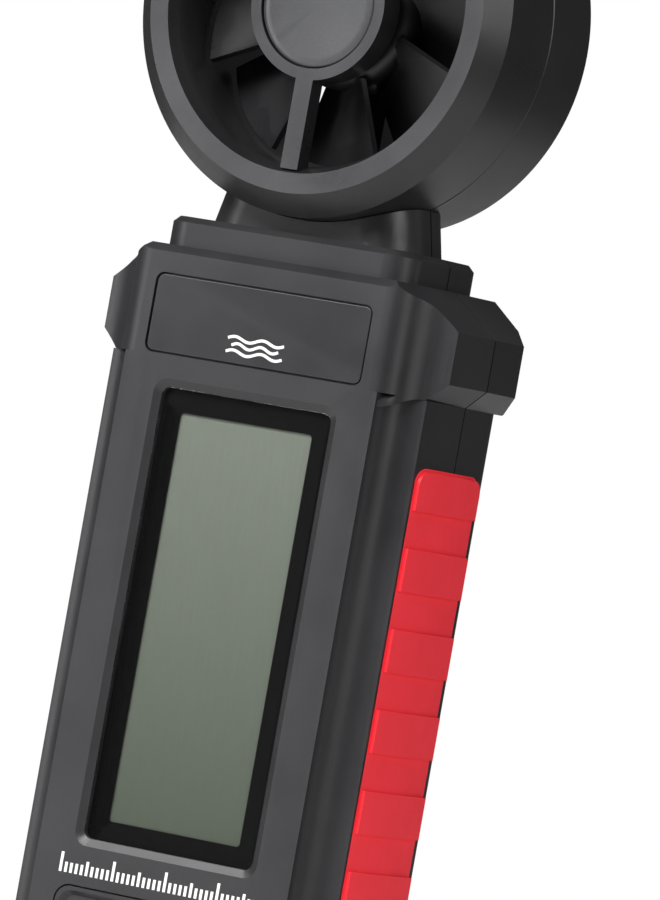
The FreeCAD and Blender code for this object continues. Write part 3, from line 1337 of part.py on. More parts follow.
def pickup_board():
    """Round sensor board in the rear hub, with its sensor facing the magnet."""
    back = REAR_BEARING_DEPTH
    front = back - PICKUP_THICKNESS
    disc = rod(0, FAN_Z, PICKUP_R, front, back)
    chip = block(-2.0, 2.0, front - 0.8, front, FAN_Z + 2.2, FAN_Z + 5.2)
    return disc.fuse(chip).cut(rod(0, FAN_Z, SHAFT_R + 0.5, front - 2, back + 1)).removeSplitter()


# ---------------------------------------------------------------- write the parts
def parts():
    """Every node's name and shape."""
    nodes = {
        "front_shell": front_shell(),
        "rear_shell": rear_shell(),
        "battery_door": battery_door(),
        "nameplate": nameplate(),
        "display_window": display_window(),
        "display_mask": display_mask(),
        "lcd_panel": lcd_panel(),
        "lcd_holder": lcd_holder(),
        "lcd_backlight": lcd_backlight(),
        "zebra_strip": zebra_strip(),
        "right_grip": right_grip(),
        "left_grip": left_grip(),
        "key_panel": key_panel(),
        "tactile_switches": tactile_switches(),
        "main_board": main_board(),
        "controller_chip": controller_chip(),
        "buzzer": buzzer(),
        "cable_socket": cable_socket(),
        "sensor_cable": sensor_cable(),
        "case_screws": case_screws(),
        "board_screws": board_screws(),
        "ring_screws": ring_screws(),
        "tripod_insert": tripod_insert(),
        "contact_plates": contact_plates(),
        "contact_springs": coil_springs(),
        "fan_ring_front": fan_ring_front(),
        "fan_ring_rear": fan_ring_rear(),
        "hub_cap": hub_cap(),
        "front_bearing": front_bearing(),
        "rear_bearing": rear_bearing(),
        "impeller": impeller(),
        "impeller_shaft": impeller_shaft(),
        "impeller_magnet": impeller_magnet(),
        "pickup_board": pickup_board(),
    }
    for name, x, z in key_centres():
        nodes[name] = key_cap(x, z)
    for i in range(CELL_COUNT):
        nodes["battery_%d" % (i + 1)] = cell(i)
    return nodes


def main():
    """Build every node, report on it and write it."""
    os.makedirs("parts", exist_ok=True)
    for name, shape in sorted(parts().items()):
        box = shape.BoundBox
        print("%-18s solids %2d valid %s volume %9.1f  z %6.1f..%6.1f" % (
            name, len(shape.Solids), shape.isValid(), shape.Volume, box.ZMin, box.ZMax))
        shape.exportStep("parts/%s.step" % name)


main()
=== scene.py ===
"""Looks of the handheld vane anemometer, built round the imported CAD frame."""
import json
import logging
import math
from dataclasses import dataclass
from enum import Enum
from typing import Callable, Protocol, Sequence

import bmesh
import bpy
from mathutils import Matrix, Vector


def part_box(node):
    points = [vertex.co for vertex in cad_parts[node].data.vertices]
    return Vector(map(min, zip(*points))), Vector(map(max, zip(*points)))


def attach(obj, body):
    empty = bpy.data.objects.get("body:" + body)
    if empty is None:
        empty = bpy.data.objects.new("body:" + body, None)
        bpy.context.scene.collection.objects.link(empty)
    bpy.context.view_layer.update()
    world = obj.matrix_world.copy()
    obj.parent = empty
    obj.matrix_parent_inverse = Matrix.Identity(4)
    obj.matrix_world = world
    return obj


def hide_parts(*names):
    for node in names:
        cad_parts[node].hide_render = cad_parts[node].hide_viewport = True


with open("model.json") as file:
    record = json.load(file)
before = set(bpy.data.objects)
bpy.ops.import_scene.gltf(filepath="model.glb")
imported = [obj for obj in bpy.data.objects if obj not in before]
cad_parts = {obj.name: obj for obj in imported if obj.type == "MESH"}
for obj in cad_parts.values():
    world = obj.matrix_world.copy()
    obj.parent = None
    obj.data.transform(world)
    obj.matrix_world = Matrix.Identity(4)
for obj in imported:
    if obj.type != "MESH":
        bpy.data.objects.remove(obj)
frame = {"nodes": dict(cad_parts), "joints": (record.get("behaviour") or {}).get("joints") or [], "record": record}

LOG = logging.getLogger("anemometer")
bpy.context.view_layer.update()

MM = 0.001
CASE = "case"
ROTOR = "rotor"
DOOR = "door"

Point2 = tuple[float, float]
Corner = tuple[float, float, float]


# ------------------------------------------------------------------ colour and node helpers
def linear(code: str, alpha: float = 1.0) -> tuple[float, float, float, float]:
    """Turn an sRGB hex value into linear light.

    Args:
        code: Six hex digits, such as "4a4a4c".
        alpha: The fourth channel.

    Returns:
        Red, green, blue and alpha in linear light.
    """
    channels = []
    for i in (0, 2, 4):
        value = int(code[i:i + 2], 16) / 255.0
        channels.append(value / 12.92 if value <= 0.04045 else ((value + 0.055) / 1.055) ** 2.4)
    return channels[0], channels[1], channels[2], alpha


def add_node(tree: bpy.types.NodeTree, kind: str, inputs: dict | None = None, **settings) -> bpy.types.Node:
    """Add one node with its settings and links.

    Args:
        tree: The node tree that gets the node.
        kind: The node's type name.
        inputs: Input names or numbers, each with a value or with an output socket to link.
        **settings: The node's own properties.

    Returns:
        The new node.
    """
    node = tree.nodes.new(kind)
    for name, value in settings.items():
        setattr(node, name, value)
    for name, value in (inputs or {}).items():
        if isinstance(value, bpy.types.NodeSocket):
            tree.links.new(value, node.inputs[name])
        else:
            node.inputs[name].default_value = value
    return node


def ramp(tree: bpy.types.NodeTree, source: bpy.types.NodeSocket,
         stops: Sequence[tuple[float, tuple]]) -> bpy.types.NodeSocket:
    """Map a value through colour stops.

    Args:
        tree: The node tree.
        source: The value to map.
        stops: Positions from 0 to 1 with their linear colours.

    Returns:
        The mapped colour.
    """
    node = add_node(tree, "ShaderNodeValToRGB", {"Fac": source})
    elements = node.color_ramp.elements
    while len(elements) < len(stops):
        elements.new(0.5)
    for element, (position, colour) in zip(elements, stops):
        element.position = position
        element.color = colour
    return node.outputs["Color"]


def grey(value: float) -> tuple[float, float, float, float]:
    """A neutral colour for ramps that carry a number."""
    return value, value, value, 1.0


def new_material(name: str) -> tuple[bpy.types.Material, bpy.types.NodeTree]:
    """Make an empty node material.

    Args:
        name: The material's name.

    Returns:
        The material and its cleared node tree.
    """
    material = bpy.data.materials.new(name)
    material.use_nodes = True
    material.node_tree.nodes.clear()
    return material, material.node_tree


def close_tree(tree: bpy.types.NodeTree, shader: bpy.types.Node, output: str = "BSDF") -> None:
    """Link a shader to the material's surface."""
    add_node(tree, "ShaderNodeOutputMaterial", {"Surface": shader.outputs[output]})


def place(tree: bpy.types.NodeTree) -> bpy.types.NodeSocket:
    """The point on the piece in the piece's own metres."""
    return add_node(tree, "ShaderNodeTexCoord").outputs["Object"]


def per_mm(size_mm: float) -> float:
    """Texture scale that repeats once over a real size in millimetres."""
    return 1.0 / (size_mm * MM)


# ------------------------------------------------------------------ finishes
class Finish(Protocol):
    """What every finish has: a name, and a way to make its material."""

    @property
    def name(self) -> str:
        """The material's name."""

    def build(self) -> bpy.types.Material:
        """Make the material."""


@dataclass(frozen=True)
class MouldedPlastic:
    """Injection-moulded plastic from a spark-eroded mould.

    The mould's grain leaves a fine orange-peel that spreads every highlight into a soft satin
    band, and handling polishes the raised edges a little. Faces that turn from the front can be
    given painted shade.
    """

    name: str
    tint: str
    roughness: float = 0.42
    grain_mm: float = 0.30
    grain_depth: float = 0.10
    mottle: float = 0.10
    edge_polish: float = 0.06
    specular: float = 0.5
    # painted shade: the share of the front colour left on faces that turn from the front; 1.0 paints none
    painted_turn_shade: float = 1.0

    def paint_turn_shade(self, tree: bpy.types.NodeTree, colour: bpy.types.NodeSocket) -> bpy.types.NodeSocket:
        """Paint shade on the faces that turn from the front, making them darker than the front faces.

        Args:
            tree: The node tree.
            colour: The colour of the front faces.

        Returns:
            The colour of the whole moulding, with painted shade on the turned faces.
        """
        turn = add_node(tree, "ShaderNodeSeparateXYZ", {
            0: add_node(tree, "ShaderNodeTexCoord").outputs["Normal"]})
        front = add_node(tree, "ShaderNodeMath", {0: turn.outputs["Y"], 1: -1.0}, operation="MULTIPLY")
        # painted shade: the shade setting darkens faces whose normal turns from the front
        shade = ramp(tree, front.outputs[0], [(0.90, grey(self.painted_turn_shade)), (0.98, grey(1.0))])
        mixed = add_node(tree, "ShaderNodeMix", {"Factor": 1.0, 6: colour, 7: shade},
                         data_type="RGBA", blend_type="MULTIPLY")
        return mixed.outputs[2]

    def build(self) -> bpy.types.Material:
        """Make the material."""
        material, tree = new_material(self.name)
        where = place(tree)
        grain = add_node(tree, "ShaderNodeTexNoise", {
            "Vector": where, "Scale": per_mm(self.grain_mm), "Detail": 3.0, "Roughness": 0.62})
        flow = add_node(tree, "ShaderNodeTexNoise", {
            "Vector": where, "Scale": per_mm(14.0), "Detail": 4.0, "Roughness": 0.55})
        base = linear(self.tint)
        dark = tuple(c * (1.0 - self.mottle) for c in base[:3]) + (1.0,)
        light = tuple(c * (1.0 + self.mottle) for c in base[:3]) + (1.0,)
        cloud = ramp(tree, flow.outputs["Fac"], [(0.32, dark), (0.68, light)])
        speck = ramp(tree, grain.outputs["Fac"], [(0.30, grey(0.90)), (0.72, grey(1.08))])
        colour = add_node(tree, "ShaderNodeMix", {"Factor": 1.0, 6: cloud, 7: speck},
                          data_type="RGBA", blend_type="MULTIPLY")
        rough = ramp(tree, flow.outputs["Fac"], [
            (0.30, grey(self.roughness - 0.04)), (0.70, grey(self.roughness + 0.05))])
        edge = add_node(tree, "ShaderNodeNewGeometry").outputs["Pointiness"]
        worn = ramp(tree, edge, [(0.50, grey(0.0)), (0.58, grey(self.edge_polish))])
        polished = add_node(tree, "ShaderNodeMath", {0: rough, 1: worn}, operation="SUBTRACT")
        bump = add_node(tree, "ShaderNodeBump", {
            "Strength": self.grain_depth, "Distance": 0.1 * MM, "Height": grain.outputs["Fac"]})
        # painted shade on the turned faces when the shade setting is below 1
        skin = self.paint_turn_shade(tree, colour.outputs[2]) if self.painted_turn_shade < 1.0 else colour.outputs[2]
        shader = add_node(tree, "ShaderNodeBsdfPrincipled", {
            "Base Color": skin, "Roughness": polished.outputs[0],
            "Normal": bump.outputs["Normal"], "IOR": 1.5, "Specular IOR Level": self.specular})
        close_tree(tree, shader)
        return material


@dataclass(frozen=True)
class OvermouldedRubber:
    """Soft thermoplastic rubber moulded over the case.

    The matte skin takes a wide, faint highlight, a short bloom at grazing angles, and shows a fine
    leathery grain.
    """

    name: str
    tint: str
    shade: str
    roughness: float = 0.50
    grain_mm: float = 0.35

    def build(self) -> bpy.types.Material:
        """Make the material."""
        material, tree = new_material(self.name)
        where = place(tree)
        grain = add_node(tree, "ShaderNodeTexVoronoi", {
            "Vector": where, "Scale": per_mm(self.grain_mm)}, feature="SMOOTH_F1")
        cloud = add_node(tree, "ShaderNodeTexNoise", {
            "Vector": where, "Scale": per_mm(9.0), "Detail": 5.0, "Roughness": 0.6})
        colour = ramp(tree, cloud.outputs["Fac"], [(0.30, linear(self.shade)), (0.70, linear(self.tint))])
        rough = ramp(tree, cloud.outputs["Fac"], [
            (0.30, grey(self.roughness + 0.06)), (0.70, grey(self.roughness - 0.05))])
        bump = add_node(tree, "ShaderNodeBump", {
            "Strength": 0.10, "Distance": 0.1 * MM, "Height": grain.outputs["Distance"]})
        shader = add_node(tree, "ShaderNodeBsdfPrincipled", {
            "Base Color": colour, "Roughness": rough, "Normal": bump.outputs["Normal"],
            "IOR": 1.47, "Specular IOR Level": 0.45, "Sheen Weight": 0.08, "Sheen Roughness": 0.4})
        close_tree(tree, shader)
        return material


@dataclass(frozen=True)
class ClearAcrylic:
    """Cast acrylic lens.

    It is clear, with a sharp mirror image that grows at grazing angles and the faintest waviness.
    Only its outer skin mirrors: the inner side lets the light from below straight out.
    """

    name: str
    gloss: str = "ffffff"
    roughness: float = 0.06

    def build(self) -> bpy.types.Material:
        """Make the material."""
        material, tree = new_material(self.name)
        wave = add_node(tree, "ShaderNodeTexNoise", {
            "Vector": place(tree), "Scale": per_mm(12.0), "Detail": 1.0})
        bump = add_node(tree, "ShaderNodeBump", {
            "Strength": 0.04, "Distance": 0.2 * MM, "Height": wave.outputs["Fac"]})
        edge = add_node(tree, "ShaderNodeFresnel", {"IOR": 1.49, "Normal": bump.outputs["Normal"]})
        clear = add_node(tree, "ShaderNodeBsdfTransparent")
        gloss = add_node(tree, "ShaderNodeBsdfAnisotropic", {
            "Color": linear(self.gloss), "Roughness": self.roughness, "Normal": bump.outputs["Normal"]})
        outside = add_node(tree, "ShaderNodeMath", {
            0: 1.0, 1: add_node(tree, "ShaderNodeNewGeometry").outputs["Backfacing"]}, operation="SUBTRACT")
        mirrored = add_node(tree, "ShaderNodeMath", {
            0: edge.outputs[0], 1: outside.outputs[0]}, operation="MULTIPLY")
        mix = add_node(tree, "ShaderNodeMixShader", {
            0: mirrored.outputs[0], 1: clear.outputs[0], 2: gloss.outputs[0]})
        close_tree(tree, mix, "Shader")
        return material


@dataclass(frozen=True)
class PrintedInk:
    """Pad-printed ink.

    A thin even film with slightly soft gloss and tiny pinholes where the pad lifted.
    """

    name: str
    tint: str
    roughness: float = 0.4
    specular: float = 0.5

    def build(self) -> bpy.types.Material:
        """Make the material."""
        material, tree = new_material(self.name)
        film = add_node(tree, "ShaderNodeTexNoise", {
            "Vector": place(tree), "Scale": per_mm(0.5), "Detail": 3.0, "Roughness": 0.6})
        base = linear(self.tint)
        thin = tuple(0.82 * c for c in base[:3]) + (1.0,)
        colour = ramp(tree, film.outputs["Fac"], [(0.28, thin), (0.42, base)])
        rough = ramp(tree, film.outputs["Fac"], [
            (0.3, grey(self.roughness + 0.08)), (0.6, grey(self.roughness))])
        shader = add_node(tree, "ShaderNodeBsdfPrincipled", {
            "Base Color": colour, "Roughness": rough, "IOR": 1.5, "Specular IOR Level": self.specular})
        close_tree(tree, shader)
        return material


@dataclass(frozen=True)
class DisplayCell:
    """Reflective liquid crystal cell behind its polariser.

    The glass is a grey green with painted shade that darkens it towards the foot, and the
    reflector's brushed grain glitters faintly.
    """

    name: str
    top: str
    # Colours from the top down; the fall towards the foot is painted shade.
    middle: str
    foot: str
    low: float
    high: float

    def build(self) -> bpy.types.Material:
        """Make the material."""
        material, tree = new_material(self.name)
        where = place(tree)
        split = add_node(tree, "ShaderNodeSeparateXYZ", {"Vector": where})
        # painted shade: the colour falls from top to foot over the cell's height
        height = add_node(tree, "ShaderNodeMapRange", {
            "Value": split.outputs["Z"], "From Min": self.low, "From Max": self.high})
        painted_shade_tone = ramp(tree, height.outputs["Result"], [
            (0.0, linear(self.foot)), (0.55, linear(self.middle)), (1.0, linear(self.top))])
        brushed = add_node(tree, "ShaderNodeMapping", {
            "Vector": where, "Scale": (per_mm(0.35), per_mm(1.0), per_mm(6.0))})
        glint = add_node(tree, "ShaderNodeTexNoise", {
            "Vector": brushed.outputs["Vector"], "Scale": 1.0, "Detail": 3.0})
        speck = ramp(tree, glint.outputs["Fac"], [(0.3, grey(0.96)), (0.7, grey(1.03))])
        colour = add_node(tree, "ShaderNodeMix", {"Factor": 1.0, 6: painted_shade_tone, 7: speck},
                          data_type="RGBA", blend_type="MULTIPLY")
        rough = ramp(tree, glint.outputs["Fac"], [(0.3, grey(0.50)), (0.7, grey(0.62))])
        shader = add_node(tree, "ShaderNodeBsdfPrincipled", {
            "Base Color": colour.outputs[2], "Roughness": rough, "IOR": 1.45,
            "Specular IOR Level": 0.2})
        close_tree(tree, shader)
        return material


@dataclass(frozen=True)
class WorkedMetal:
    """Machined, plated or sintered metal.

    Fine tool or drawing lines stretch each highlight along one way of the piece, and handling
    dulls it in patches.
    """

    name: str
    tint: str
    roughness: float = 0.30
    line_mm: tuple[float, float, float] = (0.25, 3.0, 0.25)
    pits: float = 0.06

    def build(self) -> bpy.types.Material:
        """Make the material."""
        material, tree = new_material(self.name)
        where = place(tree)
        lay = add_node(tree, "ShaderNodeMapping", {
            "Vector": where, "Scale": tuple(per_mm(size) for size in self.line_mm)})
        lines = add_node(tree, "ShaderNodeTexNoise", {
            "Vector": lay.outputs["Vector"], "Scale": 1.0, "Detail": 3.0, "Roughness": 0.6})
        dull = add_node(tree, "ShaderNodeTexNoise", {
            "Vector": where, "Scale": per_mm(3.0), "Detail": 4.0})
        base = linear(self.tint)
        dark = tuple(0.80 * c for c in base[:3]) + (1.0,)
        colour = ramp(tree, dull.outputs["Fac"], [(0.35, dark), (0.6, base)])
        rough = ramp(tree, lines.outputs["Fac"], [
            (0.3, grey(self.roughness - 0.08)), (0.7, grey(self.roughness + 0.10))])
        bump = add_node(tree, "ShaderNodeBump", {
            "Strength": self.pits, "Distance": 0.05 * MM, "Height": lines.outputs["Fac"]})
        shader = add_node(tree, "ShaderNodeBsdfPrincipled", {
            "Base Color": colour, "Metallic": 1.0, "Roughness": rough,
            "Normal": bump.outputs["Normal"]})
        close_tree(tree, shader)
        return material


@dataclass(frozen=True)
class SolderMask:
    """Green solder mask over copper tracks on glass-fibre board.

    The tracks stand a hair proud under the glossy lacquer and read as lighter lines.
    """

    name: str
    mask: str
    track: str
    track_mm: float = 1.6

    def build(self) -> bpy.types.Material:
        """Make the material."""
        material, tree = new_material(self.name)
        where = place(tree)
        turned = add_node(tree, "ShaderNodeMapping", {
            "Vector": where, "Rotation": (math.pi / 2, 0.0, 0.0)})
        grid = add_node(tree, "ShaderNodeTexBrick", {
            "Vector": turned.outputs["Vector"], "Scale": per_mm(self.track_mm),
            "Color1": linear(self.mask), "Color2": linear(self.mask), "Mortar": linear(self.track),
            "Mortar Size": 0.06, "Brick Width": 2.6, "Row Height": 0.8})
        bump = add_node(tree, "ShaderNodeBump", {
            "Strength": 0.3, "Distance": 0.05 * MM, "Height": grid.outputs["Fac"]})
        rough = ramp(tree, grid.outputs["Fac"], [(0.0, grey(0.32)), (1.0, grey(0.22))])
        shader = add_node(tree, "ShaderNodeBsdfPrincipled", {
            "Base Color": grid.outputs["Color"], "Roughness": rough,
            "Normal": bump.outputs["Normal"], "IOR": 1.52})
        close_tree(tree, shader)
        return material


@dataclass(frozen=True)
class PrintedSleeve:
    """Shrink-printed sleeve of a dry cell.

    Glossy film with a dark body and a bright band at one end, pulled tight over the can.
    """

    name: str
    body: str
    band: str
    low: float
    high: float

    def build(self) -> bpy.types.Material:
        """Make the material."""
        material, tree = new_material(self.name)
        where = place(tree)
        split = add_node(tree, "ShaderNodeSeparateXYZ", {"Vector": where})
        height = add_node(tree, "ShaderNodeMapRange", {
            "Value": split.outputs["Z"], "From Min": self.low, "From Max": self.high})
        colour = ramp(tree, height.outputs["Result"], [
            (0.0, linear(self.body)), (0.70, linear(self.body)), (0.71, linear(self.band)),
            (1.0, linear(self.band))])
        film = add_node(tree, "ShaderNodeTexNoise", {"Vector": where, "Scale": per_mm(2.0), "Detail": 3.0})
        rough = ramp(tree, film.outputs["Fac"], [(0.3, grey(0.22)), (0.7, grey(0.34))])
        bump = add_node(tree, "ShaderNodeBump", {
            "Strength": 0.08, "Distance": 0.1 * MM, "Height": film.outputs["Fac"]})
        shader = add_node(tree, "ShaderNodeBsdfPrincipled", {
            "Base Color": colour, "Roughness": rough, "Normal": bump.outputs["Normal"],
            "Metallic": 0.3})
        close_tree(tree, shader)
        return material


@dataclass(frozen=True)
class PaperSweep:
    """Pale uncoated studio paper, matte with a soft fibre grain."""

    name: str
    tint: str

    def build(self) -> bpy.types.Material:
        """Make the material."""
        material, tree = new_material(self.name)
        fibre = add_node(tree, "ShaderNodeTexNoise", {
            "Vector": place(tree), "Scale": per_mm(1.5), "Detail": 5.0, "Roughness": 0.7})
        base = linear(self.tint)
        dim = tuple(0.97 * c for c in base[:3]) + (1.0,)
        colour = ramp(tree, fibre.outputs["Fac"], [(0.3, dim), (0.7, base)])
        shader = add_node(tree, "ShaderNodeBsdfPrincipled", {
            "Base Color": colour, "Roughness": 0.9, "Specular IOR Level": 0.2})
        close_tree(tree, shader)
        return material


# ------------------------------------------------------------------ the object's own finishes
LCD_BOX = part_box("lcd_panel")
CELL_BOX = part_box("battery_1")

FINISHES = {
    # The body and the ring darken faces that turn from the front as painted shade; the ring's lighter tint paints
    # its lit front lip, a painted highlight.
    "body_plastic": MouldedPlastic("black_abs_spark_grain", "2c2c2e", roughness=0.40, painted_turn_shade=0.75),
    "ring_plastic": MouldedPlastic("black_abs_satin_ring", "404042", roughness=0.35, painted_turn_shade=0.28),
    "plate_plastic": MouldedPlastic("black_abs_satin_plate", "2a2a2c", roughness=0.36, grain_depth=0.05),
    "cap_plastic": MouldedPlastic("grey_abs_satin_cap", "48484b", roughness=0.34, grain_depth=0.03),
    "impeller_plastic": MouldedPlastic("black_pom_moulded", "161618", roughness=0.42, grain_depth=0.05),
    "panel_plastic": MouldedPlastic("black_pc_satin_panel", "2a2a2c", roughness=0.38),
    "key_plastic": MouldedPlastic("grey_silicone_keys", "b4b6ba", roughness=0.50, mottle=0.03),
    "inner_white_plastic": MouldedPlastic("white_nylon_moulded", "dcdbd4", mottle=0.03),
    "switch_plastic": MouldedPlastic("black_nylon_switch", "1c1c1e", roughness=0.5),
    "chip_epoxy": MouldedPlastic("black_epoxy_moulding", "1a1a1c", roughness=0.6, grain_depth=0.2),
    "cable_jacket": MouldedPlastic("black_pvc_extruded", "1e1e20", roughness=0.35, grain_depth=0.02),
    "light_guide": MouldedPlastic("clear_pmma_frosted", "e6ebe8", roughness=0.3, mottle=0.02),
    "magnet_ferrite": MouldedPlastic("sintered_ferrite", "2d2d30", roughness=0.6, grain_depth=0.25),
    "contact_rubber": OvermouldedRubber("carbon_silicone_strip", "4a4a4a", "303030", roughness=0.6),
    "red_rubber": OvermouldedRubber("red_tpe_overmould", "fb303e", "f42a38"),
    "clear_window": ClearAcrylic("clear_acrylic_lens"),
    "black_print": PrintedInk("black_screen_print", "050505", roughness=0.60, specular=0.08),
    # The display cell's colour falls from top to foot as painted shade.
    "lcd_cell": DisplayCell("grey_green_display_glass", "6d7369", "60665c", "4b5247",
                            LCD_BOX[0].z, LCD_BOX[1].z),
    "circuit_board": SolderMask("green_solder_mask", "0f4a26", "2a7a45"),
    "zinc_steel": WorkedMetal("zinc_plated_steel", "b9bcc0", roughness=0.32),
    "nickel_contact": WorkedMetal("nickel_plated_spring_steel", "c8c5bb", roughness=0.25),
    "shaft_steel": WorkedMetal("ground_stainless_steel", "c4c6c9", roughness=0.2),
    "brass_insert": WorkedMetal("machined_brass", "c8a04f", roughness=0.28),
    "bearing_bronze": WorkedMetal("sintered_bronze", "a77a44", roughness=0.45, pits=0.3),
    "cell_can": PrintedSleeve("printed_cell_sleeve", "1f2a44", "b9a06a", CELL_BOX[0].z, CELL_BOX[1].z),
}
WHITE_INK = PrintedInk("white_pad_print", "f4f4f2")
DARK_INK = PrintedInk("dark_pad_print", "26282c")
RED_INK = PrintedInk("red_pad_print", "b8202a")


class Workshop:
    """Holds each finish once and the record's slot of each CAD node."""

    def __init__(self) -> None:
        """Read the slots and start with no materials."""
        record = frame["record"]
        self.slots = {row["node"]: row["material_slot"] for row in record["subparts"]}
        self.made: dict[str, bpy.types.Material] = {}

    def material(self, finish: Finish) -> bpy.types.Material:
        """Make a finish's material once, then give the same one."""
        if finish.name not in self.made:
            self.made[finish.name] = finish.build()
        return self.made[finish.name]

    def dress(self, piece: bpy.types.Object, finish: Finish) -> None:
        """Give a piece one finish all over."""
        piece.data.materials.clear()
        piece.data.materials.append(self.material(finish))

    def dress_node(self, node: str) -> None:
        """Give a CAD node the finish of its own slot."""
        self.dress(frame["nodes"][node], FINISHES[self.slots[node]])
        LOG.info("%s: %s", node, self.slots[node])


SHOP = Workshop()


# ------------------------------------------------------------------ mesh helpers
FAN_AXIS = Vector(next(j["pos_m"] for j in frame["joints"] if j["name"] == "impeller_spin"))
WELD_MM = 0.002             # points closer than this are one point
FLAT_DEG = 0.4              # faces that turn less than this are one face
CORE_MM = 4.0               # rounds smaller than this keep their facets
SAME_ROUND_MM = 0.25        # an edge whose ends differ more in radius doesn't run round the axis
SPLIT_PASSES = 4            # each pass halves the turns that are still too wide
INK_SUNK_MM = 0.01          # how far printed ink reaches into its surface


class Edge(Enum):
    """How wide a moulded edge is rounded, in millimetres."""

    CRISP = 0.10
    FINE = 0.18
    SOFT = 0.28


def finish_mesh(bm: bmesh.types.BMesh, name: str, keep_sharp_deg: float = 38.0) -> bpy.types.Object:
    """Turn a bmesh into a smooth-shaded object whose flat faces stay flat.

    Args:
        bm: The mesh in metres, freed here.
        name: The object's name.
        keep_sharp_deg: Edges that turn more than this stay sharp.

    Returns:
        The new object, linked to the scene.
    """
    bmesh.ops.recalc_face_normals(bm, faces=bm.faces)
    mesh = bpy.data.meshes.new(name)
    bm.to_mesh(mesh)
    bm.free()
    mesh.polygons.foreach_set("use_smooth", [True] * len(mesh.polygons))
    mesh.set_sharp_from_angle(angle=math.radians(keep_sharp_deg))
    piece = bpy.data.objects.new(name, mesh)
    bpy.context.scene.collection.objects.link(piece)
    even = piece.modifiers.new("even_normals", "WEIGHTED_NORMAL")
    even.keep_sharp = True
    even.weight = 60
    return piece


def finer_rounds(bm: bmesh.types.BMesh, axis: Vector, step_deg: float = 2.6) -> None:
    """Split the edges that run round an axis along Y, and set the new points on the true round.

    Args:
        bm: The mesh in metres.
        axis: A point on the axis.
        step_deg: The widest turn that one edge may cover.
    """
    def polar(co: Vector) -> tuple[float, float]:
        """The point's distance from the axis, and its angle round it."""
        return math.hypot(co.x - axis.x, co.z - axis.z), math.atan2(co.z - axis.z, co.x - axis.x)

    def key(co: Vector) -> tuple[float, ...]:
        """A place rounded so that the same point is always found again."""
        return tuple(round(c, 7) for c in co)

    for _ in range(SPLIT_PASSES):
        chosen = []
        targets = {}
        for edge in bm.edges:
            a, b = edge.verts
            ra, ta = polar(a.co)
            rb, tb = polar(b.co)
            turn = (tb - ta + math.pi) % (2 * math.pi) - math.pi
            small = min(ra, rb) < CORE_MM * MM or abs(turn) < math.radians(step_deg)
            if small or abs(ra - rb) > SAME_ROUND_MM * MM:
                continue
            middle = (a.co + b.co) / 2
            radius = (ra + rb) / 2
            angle = ta + turn / 2
            targets[key(middle)] = Vector((
                axis.x + radius * math.cos(angle), middle.y, axis.z + radius * math.sin(angle)))
            chosen.append(edge)
        if not chosen:
            return
        bmesh.ops.subdivide_edges(bm, edges=chosen, cuts=1, use_grid_fill=True)
        for vert in bm.verts:
            target = targets.get(key(vert.co))
            if target is not None:
                vert.co = target


def refined_copy(node: str, name: str, edge: Edge, body: str, turned: bool = False,
                 least_turn_deg: float = 24.0, segments: int = 3) -> None:
    """Copy a CAD node, round its edges and let the copy stand for it.

    Args:
        node: The CAD node.
        name: The new piece's name.
        edge: How wide its edges are rounded.
        body: The body it rides on.
        turned: True where the node's surfaces run round the fan's axis.
        least_turn_deg: Edges that turn less than this belong to a round surface and stay.
        segments: Facets across each rounded edge.
    """
    bm = bmesh.new()
    bm.from_mesh(frame["nodes"][node].data)
    bmesh.ops.remove_doubles(bm, verts=bm.verts, dist=WELD_MM * MM)
    bmesh.ops.dissolve_limit(bm, angle_limit=math.radians(FLAT_DEG), verts=bm.verts, edges=bm.edges)
    if turned:
        finer_rounds(bm, FAN_AXIS)
    sharp = [e for e in bm.edges
             if len(e.link_faces) == 2 and e.calc_face_angle(0.0) > math.radians(least_turn_deg)]
    bmesh.ops.bevel(bm, geom=sharp, offset=edge.value * MM, offset_type="OFFSET", segments=segments,
                    profile=0.5, affect="EDGES", clamp_overlap=True, material=-1)
    piece = finish_mesh(bm, name)
    slot = SHOP.slots[node]
    SHOP.dress(piece, FINISHES[slot])
    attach(piece, body)
    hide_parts(node)
    LOG.info("%s stands for %s", name, node)


def rounded_profile(corners: Sequence[Corner], steps: int = 6) -> list[Point2]:
    """Round the corners of a closed profile.

    Args:
        corners: Radius, depth and rounding of each corner, in millimetres.
        steps: Facets across each rounded corner.

    Returns:
        Radius and depth of each point, in millimetres.
    """
    points: list[Point2] = []
    count = len(corners)
    for i, (x, y, rounding) in enumerate(corners):
        here = Vector((x, y))
        if rounding <= 0.0:
            points.append((x, y))
            continue
        before = Vector(corners[i - 1][:2]) - here
        after = Vector(corners[(i + 1) % count][:2]) - here
        enter = here + before.normalized() * min(rounding, 0.45 * before.length)
        leave = here + after.normalized() * min(rounding, 0.45 * after.length)
        for k in range(steps + 1):
            t = k / steps
            point = enter * (1 - t) ** 2 + here * 2 * t * (1 - t) + leave * t ** 2
            points.append((point.x, point.y))
    return points


def lathe(profile: Sequence[Point2], axis: Vector, front: float, segments: int = 240) -> bmesh.types.BMesh:
    """Turn a closed profile round an axis along Y.

    Args:
        profile: Radius and depth behind the front, in millimetres.
        axis: A point on the axis, in metres.
        front: Y of depth zero, in metres.
        segments: Facets round the turn.

    Returns:
        The turned mesh. A point at radius zero becomes one vertex on the axis.
    """
    bm = bmesh.new()
    rings = []
    for radius, depth in profile:
        y = front + depth * MM
        if radius < 1e-6:
            rings.append([bm.verts.new((axis.x, y, axis.z))])
            continue
        rings.append([bm.verts.new((
            axis.x + radius * MM * math.cos(2 * math.pi * k / segments), y,
            axis.z + radius * MM * math.sin(2 * math.pi * k / segments))) for k in range(segments)])
    for i, ring in enumerate(rings):
        other = rings[(i + 1) % len(rings)]
        if len(ring) == 1 and len(other) == 1:
            continue
        for k in range(segments):
            n = (k + 1) % segments
            near = [ring[k % len(ring)], ring[n % len(ring)]]
            far = [other[n % len(other)], other[k % len(other)]]
            bm.faces.new(list(dict.fromkeys(near + far)))
    return bm


